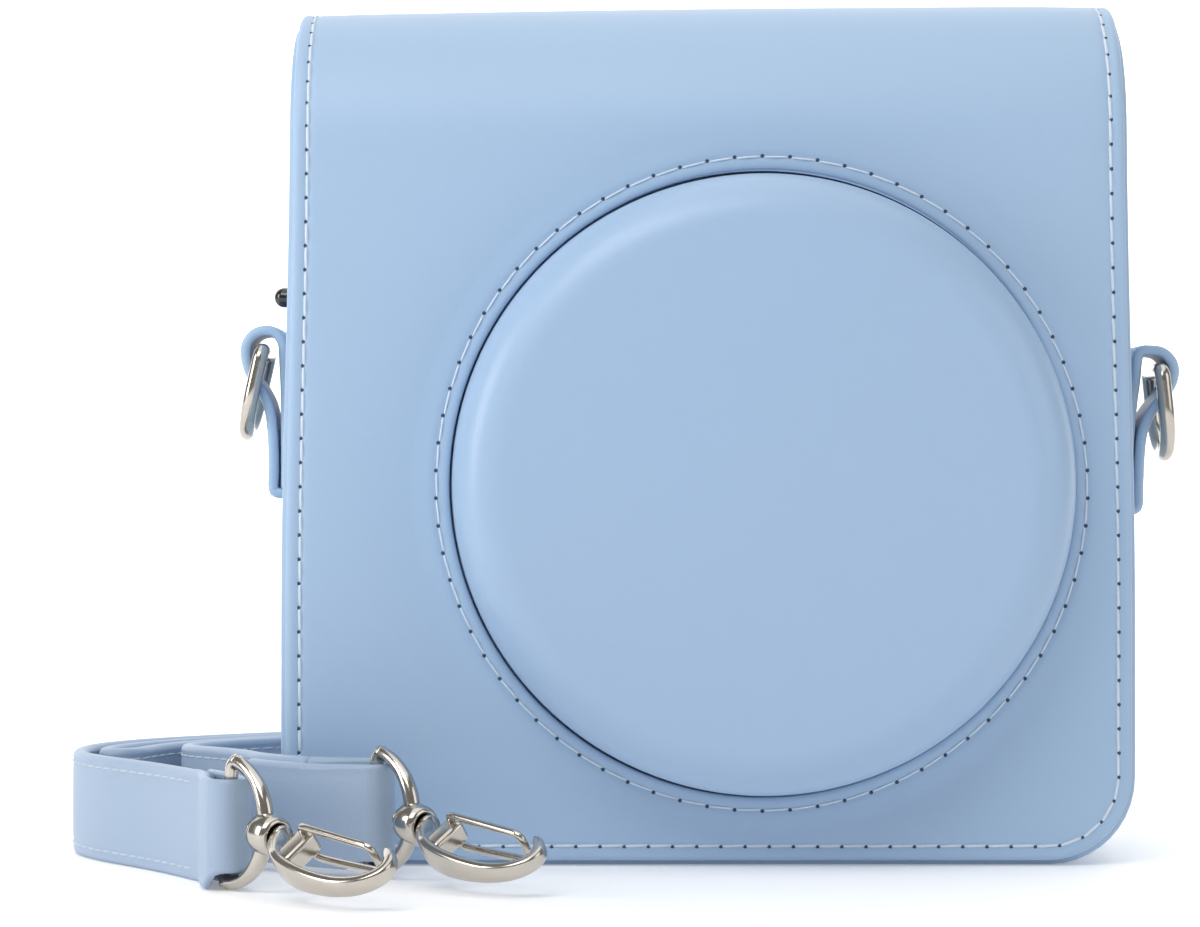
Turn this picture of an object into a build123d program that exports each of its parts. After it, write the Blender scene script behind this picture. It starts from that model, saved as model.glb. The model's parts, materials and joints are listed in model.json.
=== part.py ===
from build123d import *
import math
import os

# A square instant camera in its closed, fitted leather case, with the shoulder strap laid beside it.
# Millimetres, +Z up. Origin: the centre of the case's base. +X is the viewer's right, and -Y the front.

# ---- case: driving dimensions ----
HALF_WIDTH = 70.0            # side walls' outer faces
FLAP_HALF_WIDTH = 69.3
FRONT_Y = -25.0              # flap's outer face
BACK_Y = 25.0                # back panel's outer face
TOP_Z = 142.0
FLAP_BOTTOM_Z = 0.9
PANEL_T = 2.2                # leather-covered board
WALL_T = 2.0                 # gusset
LINING_T = 0.6
CORNER_R = 14.0              # lower corners, seen from the front
BEND_R = 23.0                # outside of the bend at the flap's top edge
GAP = 0.3                    # flap to walls
EDGE_R = 0.7

# ---- lens cup ----
LENS_X = 8.7
LENS_Z = 62.4
CUP_R = 51.0
CUP_DEPTH = 17.0             # front face, ahead of the flap
CUP_SHOULDER_R = 9.0
CUP_WALL_T = 1.6
CUP_FLANGE_R = 56.0
CUP_FLANGE_T = 0.8
HOLE_R = CUP_R + 0.2

# ---- closure ----
MAGNET_R = 4.0
MAGNET_T = 1.0
MAGNET_SPOTS = ((-56.0, 11.0), (57.0, 11.0))
LIP_TOP_Z = 18.0
LIP_T = 1.6

# ---- side tabs and their rings ----
TAB_WIDTH = 12.2
TAB_T = 1.8
TAB_SLIT = 0.45
RING_WIRE_R = 1.3
RING_HALF = 7.7              # wire centre line, along the bar
RING_DROP = 14.1             # bar's centre line to the arc's
LEFT_TAB = {"side": -1, "low": 60.0, "high": 88.8, "eye_r": 4.05, "stand": 0.5, "bar_out": 0.15, "swing": 12.5}
RIGHT_TAB = {"side": 1, "low": 57.2, "high": 85.4, "eye_r": 3.9, "stand": 2.2, "bar_out": 0.6, "swing": 6.0}

# ---- shoulder strap ----
STRAP_T = 2.4
STRAP_WIDTH = 17.5
END_TOP_Z = 19.2
# The strap stands on its edge: two ends in front, four runs to the left bend, the rest folded behind.
ROUTE = [
    (-79.3, -49.0), (-85.5, -37.5), (-93.0, -26.5), (-101.0, -16.0), (-106.3, -4.5), (-105.8, 8.0),
    (-99.0, 19.2), (-88.5, 28.4), (-76.5, 36.0), (-62.5, 44.0), (-46.0, 49.8), (-20.0, 50.5), (15.0, 49.9),
    (44.0, 50.2), (51.5, 51.4), (51.5, 55.9), (44.0, 57.1), (15.0, 56.9), (-20.0, 57.3), (-44.0, 57.1),
    (-51.5, 58.3), (-51.5, 62.8), (-44.0, 64.0), (-20.0, 64.2), (15.0, 63.8), (44.0, 64.0), (57.0, 63.4),
    (65.0, 58.5), (65.2, 48.8), (57.0, 43.9), (40.0, 43.3), (10.0, 43.6), (-22.0, 43.1), (-48.0, 42.6),
    (-65.0, 38.4), (-77.5, 31.9), (-88.3, 24.2), (-97.2, 14.0), (-102.4, 3.5), (-101.4, -2.4), (-97.0, -1.2),
    (-93.8, 9.0), (-86.0, 20.0), (-76.3, 28.2), (-62.5, 34.6), (-44.0, 36.5), (-12.0, 36.2), (22.0, 36.6),
    (46.0, 36.3), (53.6, 35.1), (53.6, 30.7), (46.0, 29.5), (22.0, 29.2), (-12.0, 29.6), (-42.0, 29.4),
    (-60.0, 29.0), (-71.5, 27.6), (-80.2, 20.5), (-86.8, 11.5), (-88.8, 3.0), (-85.8, -5.5), (-80.0, -13.5),
    (-75.2, -21.5), (-71.9, -29.6), (-64.2, -35.6),
]
TIGHT_TURN_SHARE = 0.45

# ---- strap ends: bar centre, ring bearing in degrees from +X, roll of the hook about its axis ----
END_1 = {"bar": (-75.2, -58.5), "bearing": -47.0, "roll": 38.0}
END_2 = {"bar": (-53.9, -41.7), "bearing": -46.2, "roll": 35.0}
BAR_Z = 10.75
RING_PITCH = -7.5
LOOP_WIRE_R = 1.15
LOOP_HALF = 9.45
LOOP_REACH = 9.6
COLLAR_X = 10.4
COLLAR_R = 3.15
COLLAR_LENGTH = 4.6
STEM_R = 1.4
STEM_CLEARANCE = 0.05
FOLD_R = 4.4
FOLD_BOTTOM_Z = 3.9
FOLD_TOP_Z = 16.9
END_HALF_T = 2.7

# ---- snap hook, in its own frame: x along the stem, y across the body, z towards the gate ----
SPINE_T = 1.8
SPINE = [(3.0, 0.2), (5.8, -3.0), (12.0, -5.4), (19.0, -5.5), (25.6, -3.5), (27.9, 0.2), (24.6, 3.7)]
GATE_WIRE_R = 0.62
GATE_PIVOT = (8.6, 1.0)
GATE_END = (24.2, 1.75)
GATE_HALF_ROOT = 3.2
GATE_HALF_END = 2.6

# ---- camera inside ----
CAM_HALF = 66.4
CAM_FRONT = -20.0
CAM_SPLIT = -1.0
CAM_BACK = 20.6
CAM_TOP = 135.0
CAM_WALL = 2.0
CAM_BOTTOM = WALL_T + LINING_T
BARREL_R = 34.0
LENS_RING_R = 36.5
LENS_RING_Y = (-32.0, -22.0)
BARREL_FRONT = -35.0
BARREL_FRONT_TO_BACK = 22.0
RING_GROOVES = 60
BUTTON = (-49.0, 40.0)
BUTTON_R = 6.0
BUTTON_Y = (-21.4, -17.0)
FILM_SHEETS = 10
SKIN_GAP = 0.1               # a cover in its opening
DOOR = {"half": 52.0, "low": 14.0, "high": 98.0}
BATTERY_BAY = {"y": (2.0, 17.0), "z": (14.0, 71.0)}
EYEPIECE = (-44.0, 108.0, 5.0)
SCREW_SPOTS = ((-58.0, 8.6), (58.0, 8.6), (-59.0, 124.0), (59.0, 124.0))
SCREW_R = 1.5
WINDOWS = {
    "viewfinder_window": (-44.0, 108.0, 15.0, 10.0),
    "flash_window": (40.0, 109.0, 30.0, 9.0),
    "light_sensor_window": (-22.0, 110.0, 9.0, 4.0),
}
FILM_Y = 8.0
ROLLER_Z = 124.0
ROLLER_R = 3.4
ROLLER_HALF = 44.0
AXLE_R = 1.5
RUNNING_FIT = 0.05
LUG = {"y": 0.0, "z": 94.0, "r": 1.7, "tip": -73.2}

INNER_FRONT = FRONT_Y + PANEL_T
WALL_FRONT = INNER_FRONT + GAP
BACK_INNER = BACK_Y - PANEL_T
HINGE_Y = BACK_Y - PANEL_T / 2
HINGE_Z = TOP_Z - PANEL_T / 2


# ---- helpers ----
def box_between(low, high):
    """A box from its lowest corner to its highest."""
    size = [b - a for a, b in zip(low, high)]
    centre = [(a + b) / 2 for a, b in zip(low, high)]
    return Pos(*centre) * Box(*size)


def slab_y(sketch, y0, y1):
    """Extrudes an X-Z sketch from y0 to y1."""
    return extrude(Plane((0, y1, 0), x_dir=(1, 0, 0), z_dir=(0, -1, 0)) * sketch, amount=y1 - y0)


def slab_x(sketch, x0, x1):
    """Extrudes a Y-Z sketch from x0 to x1."""
    return extrude(Plane((x0, 0, 0), x_dir=(0, 1, 0), z_dir=(1, 0, 0)) * sketch, amount=x1 - x0)


def disc_y(radius, x, z, y0, y1):
    """A round bar along Y."""
    return Pos(x, (y0 + y1) / 2, z) * Rot(90, 0, 0) * Cylinder(radius, y1 - y0)


def rod_x(radius, y, z, x0, x1):
    """A round bar along X."""
    return Pos((x0 + x1) / 2, y, z) * Rot(0, 90, 0) * Cylinder(radius, x1 - x0)


def tub(half_width, bottom, top, corner):
    """The case's front outline: square top corners, round bottom ones."""
    outline = Pos(0, (bottom + top) / 2) * Rectangle(2 * half_width, top - bottom)
    return fillet(outline.vertices().group_by(Axis.Y)[0], corner)


def side(front, back, bottom, top, bend):
    """The case's side outline, with the large bend at its top front corner."""
    outline = Pos((front + back) / 2, (bottom + top) / 2) * Rectangle(back - front, top - bottom)
    corner = outline.vertices().sort_by(Axis.X)[:2].sort_by(Axis.Y)[-1]
    return fillet(corner, bend)


def one(shape):
    """The single solid of a shape."""
    solids = shape.solids()
    assert len(solids) == 1, f"{len(solids)} solids"
    return solids[0]


def save(name, shape):
    export_step(shape, f"parts/{name}.step")


# ---- case ----
def make_gusset():
    """One strip: left wall, bottom and right wall, with a hole for the camera's lug."""
    strip = slab_y(tub(HALF_WIDTH, 0, TOP_Z, CORNER_R), WALL_FRONT, BACK_INNER)
    strip -= slab_y(tub(HALF_WIDTH - WALL_T, WALL_T, TOP_Z + 1, CORNER_R - WALL_T), WALL_FRONT, BACK_INNER)
    under_flap = side(WALL_FRONT, BACK_INNER, 0, TOP_Z - PANEL_T - GAP, BEND_R - PANEL_T - GAP)
    strip &= slab_x(under_flap, -HALF_WIDTH, HALF_WIDTH)
    return one(strip - rod_x(LUG["r"] + GAP, LUG["y"], LUG["z"], -HALF_WIDTH - 1, 0))


def make_back_panel():
    return one(slab_y(tub(HALF_WIDTH, 0, TOP_Z - PANEL_T - GAP, CORNER_R), BACK_INNER, BACK_Y))


def make_body_lining():
    """A thin skin on the inside of the gusset and the back panel."""
    top = TOP_Z - PANEL_T - 4 * GAP
    inner = HALF_WIDTH - WALL_T
    skin = slab_y(tub(inner, WALL_T, top, CORNER_R - WALL_T), WALL_FRONT + LIP_T, BACK_INNER)
    hollow = tub(inner - LINING_T, WALL_T + LINING_T, top + 1, CORNER_R - WALL_T - LINING_T)
    skin -= slab_y(hollow, WALL_FRONT + LIP_T, BACK_INNER - LINING_T)
    bend = BEND_R - PANEL_T - LIP_T - 4 * GAP
    skin &= slab_x(side(WALL_FRONT + LIP_T, BACK_INNER, 0, top, bend), -inner, inner)
    return one(skin - rod_x(LUG["r"] + GAP, LUG["y"], LUG["z"], -HALF_WIDTH - 1, 0))


def make_front_lip():
    """A low wall behind the flap's bottom edge, cut away round the lens cup, with two magnet pockets."""
    lip = slab_y(tub(HALF_WIDTH - WALL_T, WALL_T, TOP_Z, CORNER_R - WALL_T), WALL_FRONT, WALL_FRONT + LIP_T)
    lip &= box_between((-HALF_WIDTH, FRONT_Y, 0), (HALF_WIDTH, 0, LIP_TOP_Z))
    lip -= disc_y(CUP_FLANGE_R + 1.2, LENS_X, LENS_Z, FRONT_Y, 0)
    for x, z in MAGNET_SPOTS:
        lip -= disc_y(MAGNET_R, x, z, WALL_FRONT + LIP_T - MAGNET_T, 0)
    return one(lip)


def make_magnets(y0):
    return Compound([one(disc_y(MAGNET_R, x, z, y0, y0 + MAGNET_T)) for x, z in MAGNET_SPOTS])


def make_flap_panel():
    """Front panel, top bend and top, in one piece, with a round edge on the hinge line."""
    shell = slab_x(side(FRONT_Y, HINGE_Y, 0, TOP_Z, BEND_R), -FLAP_HALF_WIDTH, FLAP_HALF_WIDTH)
    inside = side(INNER_FRONT, BACK_Y, -1, TOP_Z - PANEL_T, BEND_R - PANEL_T)
    shell -= slab_x(inside, -FLAP_HALF_WIDTH, FLAP_HALF_WIDTH)
    shell += rod_x(PANEL_T / 2, HINGE_Y, HINGE_Z, -FLAP_HALF_WIDTH, FLAP_HALF_WIDTH)
    shell &= slab_y(tub(FLAP_HALF_WIDTH, FLAP_BOTTOM_Z, TOP_Z, CORNER_R), FRONT_Y, BACK_Y)
    shell -= disc_y(HOLE_R, LENS_X, LENS_Z, FRONT_Y - 1, 0)
    for x, z in MAGNET_SPOTS:
        shell -= disc_y(MAGNET_R, x, z, INNER_FRONT - MAGNET_T, INNER_FRONT)
    return one(shell)


def make_flap_lining():
    """A thin skin inside the flap, from above the magnets to just short of the hinge line."""
    half = HALF_WIDTH - WALL_T - LINING_T - GAP
    back = HINGE_Y - 3
    skin = slab_x(side(INNER_FRONT, back, LIP_TOP_Z + GAP, TOP_Z - PANEL_T, BEND_R - PANEL_T), -half, half)
    inside = side(INNER_FRONT + LINING_T, back, 0, TOP_Z - PANEL_T - LINING_T, BEND_R - PANEL_T - LINING_T)
    skin -= slab_x(inside, -half, half)
    return one(skin - disc_y(CUP_FLANGE_R + GAP, LENS_X, LENS_Z, FRONT_Y, 0))


def cup_profile(radius, depth, shoulder):
    """Half of the cup's section: radius against distance ahead of the flap's inner face."""
    outline = Pos(radius / 2, depth / 2) * Rectangle(radius, depth)
    corner = outline.vertices().sort_by(Axis.X)[2:].sort_by(Axis.Y)[-1]
    return fillet(corner, shoulder)


def make_cup(radius, front, shoulder, wall, flange):
    """A moulded cup, open at the back, with an optional flange behind the flap."""
    depth = INNER_FRONT - front
    section = cup_profile(radius, depth, shoulder) - cup_profile(radius - wall, depth - wall, shoulder - wall)
    if flange:
        section += Pos((radius - wall + flange) / 2, -CUP_FLANGE_T / 2) * Rectangle(flange - radius + wall,
                                                                                  CUP_FLANGE_T)
    place = Plane((LENS_X, INNER_FRONT, LENS_Z), x_dir=(1, 0, 0), z_dir=(0, 0, 1))
    turned = revolve(section, Axis.Y, 360)
    return one(place * Rot(180, 0, 0) * turned)


# ---- side tabs ----
def wire_loop(points, radii, wire_r):
    """A round wire bent into a flat closed loop."""
    path = FilletPolyline(*points, radius=radii, close=True)
    start = path @ 0
    section = Plane(origin=start, z_dir=path % 0) * Circle(wire_r)
    return one(sweep(section, path=path))


def tab_eye(tab):
    """X and Z of the eye's centre."""
    return tab["side"] * (HALF_WIDTH + tab["stand"] + tab["eye_r"]), tab["high"] - tab["eye_r"]


def make_tab(tab):
    """A leather strip folded into a band: an eye round the ring's bar, and two layers below it."""
    x, z = tab_eye(tab)
    wall = tab["side"] * HALF_WIDTH
    depth = 2 * TAB_T + TAB_SLIT
    legs_x = wall + tab["side"] * depth / 2
    legs = Pos(legs_x, (tab["low"] + z) / 2) * RectangleRounded(depth, z - tab["low"], TAB_T)
    inside_x = wall + tab["side"] * (TAB_T + TAB_SLIT / 2)
    slit_top = z - tab["eye_r"] + TAB_T
    slit = Pos(inside_x, (tab["low"] + TAB_T + slit_top) / 2) * Rectangle(TAB_SLIT, slit_top - tab["low"] - TAB_T)
    band = legs + Pos(x, z) * Circle(tab["eye_r"]) + Pos(legs_x, z) * Circle(depth / 2)
    band = band - slit - Pos(x, z) * Circle(tab["eye_r"] - TAB_T)
    return one(slab_y(band, -TAB_WIDTH / 2, TAB_WIDTH / 2))


def ring_bar(tab):
    """X and Z of the ring's bar in the eye."""
    x, z = tab_eye(tab)
    return x + tab["side"] * tab["bar_out"], z


def make_d_ring(tab):
    """A wire D: the bar runs along Y in the tab's eye, and the arc hangs below, swung a little outward."""
    x, z = ring_bar(tab)
    points = [(-RING_HALF, 0), (RING_HALF, 0), (RING_HALF, -RING_DROP), (-RING_HALF, -RING_DROP)]
    loop = wire_loop(points, [1.5, 1.5, RING_HALF - 0.1, RING_HALF - 0.1], RING_WIRE_R)
    swing = math.radians(tab["swing"])
    up = (-tab["side"] * math.sin(swing), 0, math.cos(swing))
    normal = Vector(0, 1, 0).cross(Vector(*up))
    return Plane((x, 0, z), x_dir=(0, 1, 0), z_dir=normal) * loop


# ---- strap ----
def make_strap():
    """The strap on its edge: straight runs and tangent arcs, each arc as large as its runs allow."""
    points = [Vector(x, y) for x, y in ROUTE]
    radii = []
    for before, corner, after in zip(points, points[1:], points[2:]):
        turn = math.radians((corner - before).get_angle(after - corner))
        shorter = min((corner - before).length, (after - corner).length)
        radii.append(TIGHT_TURN_SHARE * shorter / math.tan(turn / 2))
    path = FilletPolyline(*points, radius=radii)
    print("strap radii", [round(r, 1) for r in radii])
    ribbon = one(extrude(trace(path, line_width=STRAP_T), amount=STRAP_WIDTH))
    expected = path.length * STRAP_T * STRAP_WIDTH
    print(f"strap length {path.length:.0f} mm, volume {ribbon.volume:.0f}, section x length {expected:.0f}")
    return ribbon


def end_frame(end):
    """The ring's frame: x out along the ring, y up its bar."""
    bearing = math.radians(end["bearing"])
    pitch = math.radians(RING_PITCH)
    flat = (math.cos(bearing), math.sin(bearing))
    out = Vector(flat[0] * math.cos(pitch), flat[1] * math.cos(pitch), math.sin(pitch))
    bar = Vector(-flat[0] * math.sin(pitch), -flat[1] * math.sin(pitch), math.cos(pitch))
    return Plane((*end["bar"], BAR_Z), x_dir=out, z_dir=out.cross(bar))


def make_strap_end(end, joint):
    """A folded end piece: a full-height tongue on the strap, and a lower fold round the ring's bar."""
    bar = Vector(*end["bar"])
    root = Vector(*joint)
    along = (bar - root).normalized()
    across = Vector(-along.Y, along.X)
    neck = bar - along * (FOLD_R + 0.6)
    low = [root + across * END_HALF_T, neck + across * END_HALF_T, neck - across * END_HALF_T,
           root - across * END_HALF_T]
    tongue = extrude(make_face(Polyline(*low, close=True)), amount=END_TOP_Z)
    back = neck - along
    plan = [back + across * END_HALF_T, bar + across * FOLD_R, bar - across * FOLD_R, back - across * END_HALF_T]
    fold = make_face(Polyline(*plan, close=True)) + Pos(bar.X, bar.Y) * Circle(FOLD_R)
    fold = Pos(0, 0, FOLD_BOTTOM_Z) * extrude(fold, amount=FOLD_TOP_Z - FOLD_BOTTOM_Z)
    slot = SlotCenterToCenter(2 * 1.6, 2 * (LOOP_WIRE_R + GAP))
    cut = extrude(Pos(bar.X, bar.Y) * Rot(0, 0, end["bearing"]) * slot, amount=END_TOP_Z + 1)
    return one(tongue + fold - cut)


def make_strap_ring(end):
    """A wire D with a bored collar at the middle of its arc."""
    points = [(0, -LOOP_HALF), (LOOP_REACH, -LOOP_HALF), (LOOP_REACH, LOOP_HALF), (0, LOOP_HALF)]
    loop = wire_loop(points, [1.5, LOOP_HALF - 0.15, LOOP_HALF - 0.15, 1.5], LOOP_WIRE_R)
    collar = Pos(COLLAR_X, 0, 0) * Rot(0, 90, 0) * Cylinder(COLLAR_R, COLLAR_LENGTH)
    collar = fillet(collar.edges(), EDGE_R)
    bore = Pos(COLLAR_X, 0, 0) * Rot(0, 90, 0) * Cylinder(STEM_R + STEM_CLEARANCE, 3 * COLLAR_LENGTH)
    return one(end_frame(end) * (loop + collar - bore))


def hook_frame(end):
    """The hook's frame: on the collar's axis, rolled about it."""
    frame = end_frame(end)
    origin = frame.from_local_coords(Vector(COLLAR_X, 0, 0))
    roll = math.radians(end["roll"])
    side_dir = frame.z_dir * -1
    if side_dir.X < 0:
        side_dir = side_dir * -1
    normal = side_dir * math.cos(roll) + frame.y_dir * math.sin(roll)
    return Plane(origin, x_dir=frame.x_dir, z_dir=normal)


def make_snap_hook(end):
    """Stem with a riveted head, a flat tapering body bent into a hook, and the gate's pivot lug."""
    half = COLLAR_LENGTH / 2
    stem = Pos((3.4 - half - 0.6) / 2, 0, 0) * Rot(0, 90, 0) * Cylinder(STEM_R, 3.4 + half + 0.6)
    head = Pos(-half - 0.85, 0, 0) * Rot(0, 90, 0) * Cylinder(2.1, 1.1)
    neck = Pos(half + 1.1, 0, 0) * Rot(0, 90, 0) * Cylinder(2.0, 1.6)
    ribbon = trace(Spline(*[Vector(x, z) for x, z in SPINE]), line_width=SPINE_T)
    body = slab_y(ribbon, -3.2, 3.2)
    plan = Polyline((2.6, 2.2), (6.0, 2.9), (10.0, 2.9), (22.0, 1.9), (29.0, 1.5), (29.0, -1.5), (22.0, -1.9),
                    (10.0, -2.9), (6.0, -2.9), (2.6, -2.2), close=True)
    body &= Pos(0, 0, -8) * extrude(make_face(plan), amount=16)
    x, z = GATE_PIVOT
    lug = box_between((x - 2.2, -2.0, -4.4), (x + 2.0, 2.0, z + 1.3))
    hook = stem + head + neck + body + lug
    hook -= Pos(x, 0, z) * Rot(90, 0, 0) * Cylinder(GATE_WIRE_R + 0.06, 12)
    return one(hook_frame(end) * hook)


def make_wire_gate(end):
    """A bent wire: two pins in the lug, two legs and a crossbar under the hook's nose."""
    x0, z0 = GATE_PIVOT
    x1, z1 = GATE_END
    points = [(x0, -0.3, z0), (x0, -GATE_HALF_ROOT, z0), (x1, -GATE_HALF_END, z1), (x1, GATE_HALF_END, z1),
              (x0, GATE_HALF_ROOT, z0), (x0, 0.3, z0)]
    path = FilletPolyline(*points, radius=0.9)
    section = Plane(origin=path @ 0, z_dir=path % 0) * Circle(GATE_WIRE_R)
    return one(hook_frame(end) * sweep(section, path=path))


# ---- camera ----
def camera_outline(inset, bend):
    return side(CAM_FRONT + inset, CAM_BACK - inset, CAM_BOTTOM + inset, CAM_TOP - inset, bend - inset)


def make_camera_shell():
    """The hollow body that the two shells are cut from."""
    bend = BEND_R - PANEL_T - 4
    half = CAM_HALF
    outer = slab_x(camera_outline(0, bend), -half, half)
    outer &= slab_y(tub(half, CAM_BOTTOM, CAM_TOP, CORNER_R - WALL_T - LINING_T), CAM_FRONT, CAM_BACK)
    inner_half = half - CAM_WALL
    inner = slab_x(camera_outline(CAM_WALL, bend), -inner_half, inner_half)
    corner = CORNER_R - WALL_T - LINING_T - CAM_WALL
    inner &= slab_y(tub(inner_half, CAM_BOTTOM + CAM_WALL, CAM_TOP - CAM_WALL, corner), CAM_FRONT, CAM_BACK)
    return outer - inner


def window_cut(x, z, width, height, inset, y0, y1):
    outline = RectangleRounded(width - 2 * inset, height - 2 * inset, 1.2)
    return slab_y(Pos(x, z) * outline, y0, y1)


def make_front_shell(hollow):
    """Front half, with openings for the lens, the windows and the shutter button."""
    inside = CAM_FRONT + CAM_WALL + 1
    half = hollow & box_between((-80, CAM_FRONT - 1, 0), (80, CAM_SPLIT, TOP_Z))
    half -= disc_y(BARREL_R + SKIN_GAP, LENS_X, LENS_Z, CAM_FRONT - 1, inside)
    half -= disc_y(BUTTON_R + RUNNING_FIT, *BUTTON, CAM_FRONT - 1, inside)
    for window in WINDOWS.values():
        half -= window_cut(*window, 0, CAM_FRONT - 1, inside)
    lug = rod_x(LUG["r"] + SKIN_GAP, LUG["y"], LUG["z"], -CAM_HALF - 1, -CAM_HALF + CAM_WALL + 1)
    return one(half - lug)


def make_rear_shell(hollow):
    """Rear half, with openings for the film door, film exit, batteries, eyepiece and screws."""
    inside = CAM_BACK - CAM_WALL - 1
    half = hollow & box_between((-80, CAM_SPLIT, 0), (80, CAM_BACK + 1, TOP_Z))
    half -= box_between((-DOOR["half"], inside, DOOR["low"]), (DOOR["half"], CAM_BACK + 1, DOOR["high"]))
    slot_half = ROLLER_HALF + 1
    half -= box_between((-slot_half, FILM_Y - 1.2, CAM_TOP - CAM_WALL - 1), (slot_half, FILM_Y + 1.2, TOP_Z))
    (y0, y1), (z0, z1) = BATTERY_BAY["y"], BATTERY_BAY["z"]
    half -= box_between((CAM_HALF - CAM_WALL - 1, y0, z0), (CAM_HALF + 1, y1, z1))
    x, z, radius = EYEPIECE
    half -= disc_y(radius, x, z, inside, CAM_BACK + 1)
    for x, z in SCREW_SPOTS:
        half -= disc_y(SCREW_R + SKIN_GAP, x, z, inside, CAM_BACK + 1)
    lug = rod_x(LUG["r"] + SKIN_GAP, LUG["y"], LUG["z"], -CAM_HALF - 1, -CAM_HALF + CAM_WALL + 1)
    return one(half - lug)


def make_film_door():
    """The back door, with a hand grip rib along its free edge."""
    g = SKIN_GAP
    door = box_between((-DOOR["half"] + g, CAM_BACK - CAM_WALL, DOOR["low"] + g),
                       (DOOR["half"] - g, CAM_BACK, DOOR["high"] - g))
    door = fillet(door.edges().filter_by(Axis.Y), 3.0)
    pane = window_cut(0, DOOR["low"] + 44, 12, 26, 0, CAM_BACK - 0.6, CAM_BACK + 1)
    return one(door - pane)


def make_battery_door():
    (y0, y1), (z0, z1) = BATTERY_BAY["y"], BATTERY_BAY["z"]
    g = SKIN_GAP
    return one(box_between((CAM_HALF - CAM_WALL, y0 + g, z0 + g), (CAM_HALF, y1 - g, z1 - g)))


def turned_y(section, y):
    """Turns a section of radius against depth about the lens axis, with its zero depth at y."""
    place = Plane((LENS_X, y, LENS_Z), x_dir=(1, 0, 0), z_dir=(0, 0, 1))
    return one(place * revolve(section, Axis.Y, 360))


def make_lens_barrel():
    """A tube through the front shell, with a stepped front wall."""
    tube = Pos(BARREL_R - 1, 0) * Rectangle(2, BARREL_FRONT_TO_BACK)
    face = Pos((BARREL_R + 20) / 2 - 0.5, -BARREL_FRONT_TO_BACK / 2 + 1) * Rectangle(BARREL_R - 21, 2)
    return turned_y(tube + face, BARREL_FRONT + BARREL_FRONT_TO_BACK / 2)


def make_lens_ring():
    """The grip ring that turns on the barrel, with a milled rim."""
    y0, y1 = LENS_RING_Y
    ring = disc_y(LENS_RING_R, LENS_X, LENS_Z, y0, y1)
    ring = fillet(ring.edges(), EDGE_R)
    ring -= disc_y(BARREL_R + RUNNING_FIT, LENS_X, LENS_Z, y0 - 1, y1 + 1)
    for index in range(RING_GROOVES):
        angle = 2 * math.pi * index / RING_GROOVES
        x = LENS_X + (LENS_RING_R + 0.25) * math.cos(angle)
        z = LENS_Z + (LENS_RING_R + 0.25) * math.sin(angle)
        ring -= disc_y(0.8, x, z, y0 + 1.5, y1 - 1.5)
    return one(ring)


def make_lens_bezel():
    """A dished ring between the barrel's front wall and the lens."""
    section = make_face(Polyline((12.6, 3.0), (12.6, 4.6), (19.9, 2.0), (19.9, 0.2), close=True))
    return turned_y(section, BARREL_FRONT)


def make_lens_glass():
    """The front lens: flat behind, domed in front."""
    section = make_face(Polyline((0, 5.4), (12.4, 5.4), (12.4, 4.4), (10, 3.3), (6.5, 2.5), (0, 2.0), close=True))
    return turned_y(section, BARREL_FRONT)


def make_lens_group():
    section = Pos(14.5, 16.0) * Rectangle(3.6, 20.4)
    return turned_y(section, BARREL_FRONT)


def make_viewfinder_tube():
    x, z, width, height = WINDOWS["viewfinder_window"]
    outer = window_cut(x, z, width - 1, height - 1, 0, CAM_FRONT + CAM_WALL, CAM_BACK - CAM_WALL)
    return one(outer - window_cut(x, z, width - 3, height - 3, 0, CAM_FRONT, CAM_BACK))


def make_flash_reflector():
    x, z, width, height = WINDOWS["flash_window"]
    outer = window_cut(x, z, width, height, 1.0, CAM_FRONT + CAM_WALL, CAM_FRONT + 8)
    return one(outer - window_cut(x, z, width, height, 2.4, CAM_FRONT, CAM_FRONT + 7))


def make_film_cartridge():
    """A thin box with its exposure window in front."""
    low, high = (-46, 5.5, 15.5), (46, 17.5, 97.0)
    box = box_between(low, high) - box_between([v + 1.4 for v in low], [v - 1.4 for v in high])
    return one(box - box_between((-33, 5, 24), (33, 8, 88)))


def make_film_sheets():
    """The stack of square film, kept off the cartridge's walls."""
    return Compound([one(box_between((-43, y, 18.5), (43, y + 0.6, 94)))
                     for y in [8.0 + 0.7 * index for index in range(FILM_SHEETS)]])


def make_roller(y):
    """One film roller with its two axle ends."""
    roller = rod_x(ROLLER_R, y, ROLLER_Z, -ROLLER_HALF, ROLLER_HALF)
    return one(roller + rod_x(AXLE_R, y, ROLLER_Z, -ROLLER_HALF - 3, ROLLER_HALF + 3))


def make_roller_brackets(front_y, rear_y):
    """Two end plates, bored for both axles."""
    plates = []
    for x0 in (-ROLLER_HALF - 2.6, ROLLER_HALF + 0.6):
        plate = box_between((x0, front_y - 4.5, ROLLER_Z - 7), (x0 + 2, rear_y + 4.5, ROLLER_Z + 6))
        for y in (front_y, rear_y):
            plate -= rod_x(AXLE_R + RUNNING_FIT, y, ROLLER_Z, x0 - 1, x0 + 3)
        plates.append(one(plate))
    return Compound(plates)


def make_batteries():
    x, y = 56.2, 9.5
    cells = []
    for z0 in (15.0, 43.0):
        cell = Pos(x, y, z0 + 13) * Cylinder(7.6, 26)
        cells.append(one(fillet(cell.edges(), EDGE_R) + Pos(x, y, z0 + 26.6) * Cylinder(3, 1.2)))
    return Compound(cells)


def make_circuit_board():
    """The board, with a few of its larger components."""
    board = box_between((-60, -14, 12), (-58.4, 15, 92))
    for y, z, size in ((-6, 30, 8), (4, 52, 10), (-5, 72, 6)):
        board += box_between((-58.4, y - size / 2, z - size / 2), (-57, y + size / 2, z + size / 2))
    return one(board)


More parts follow.
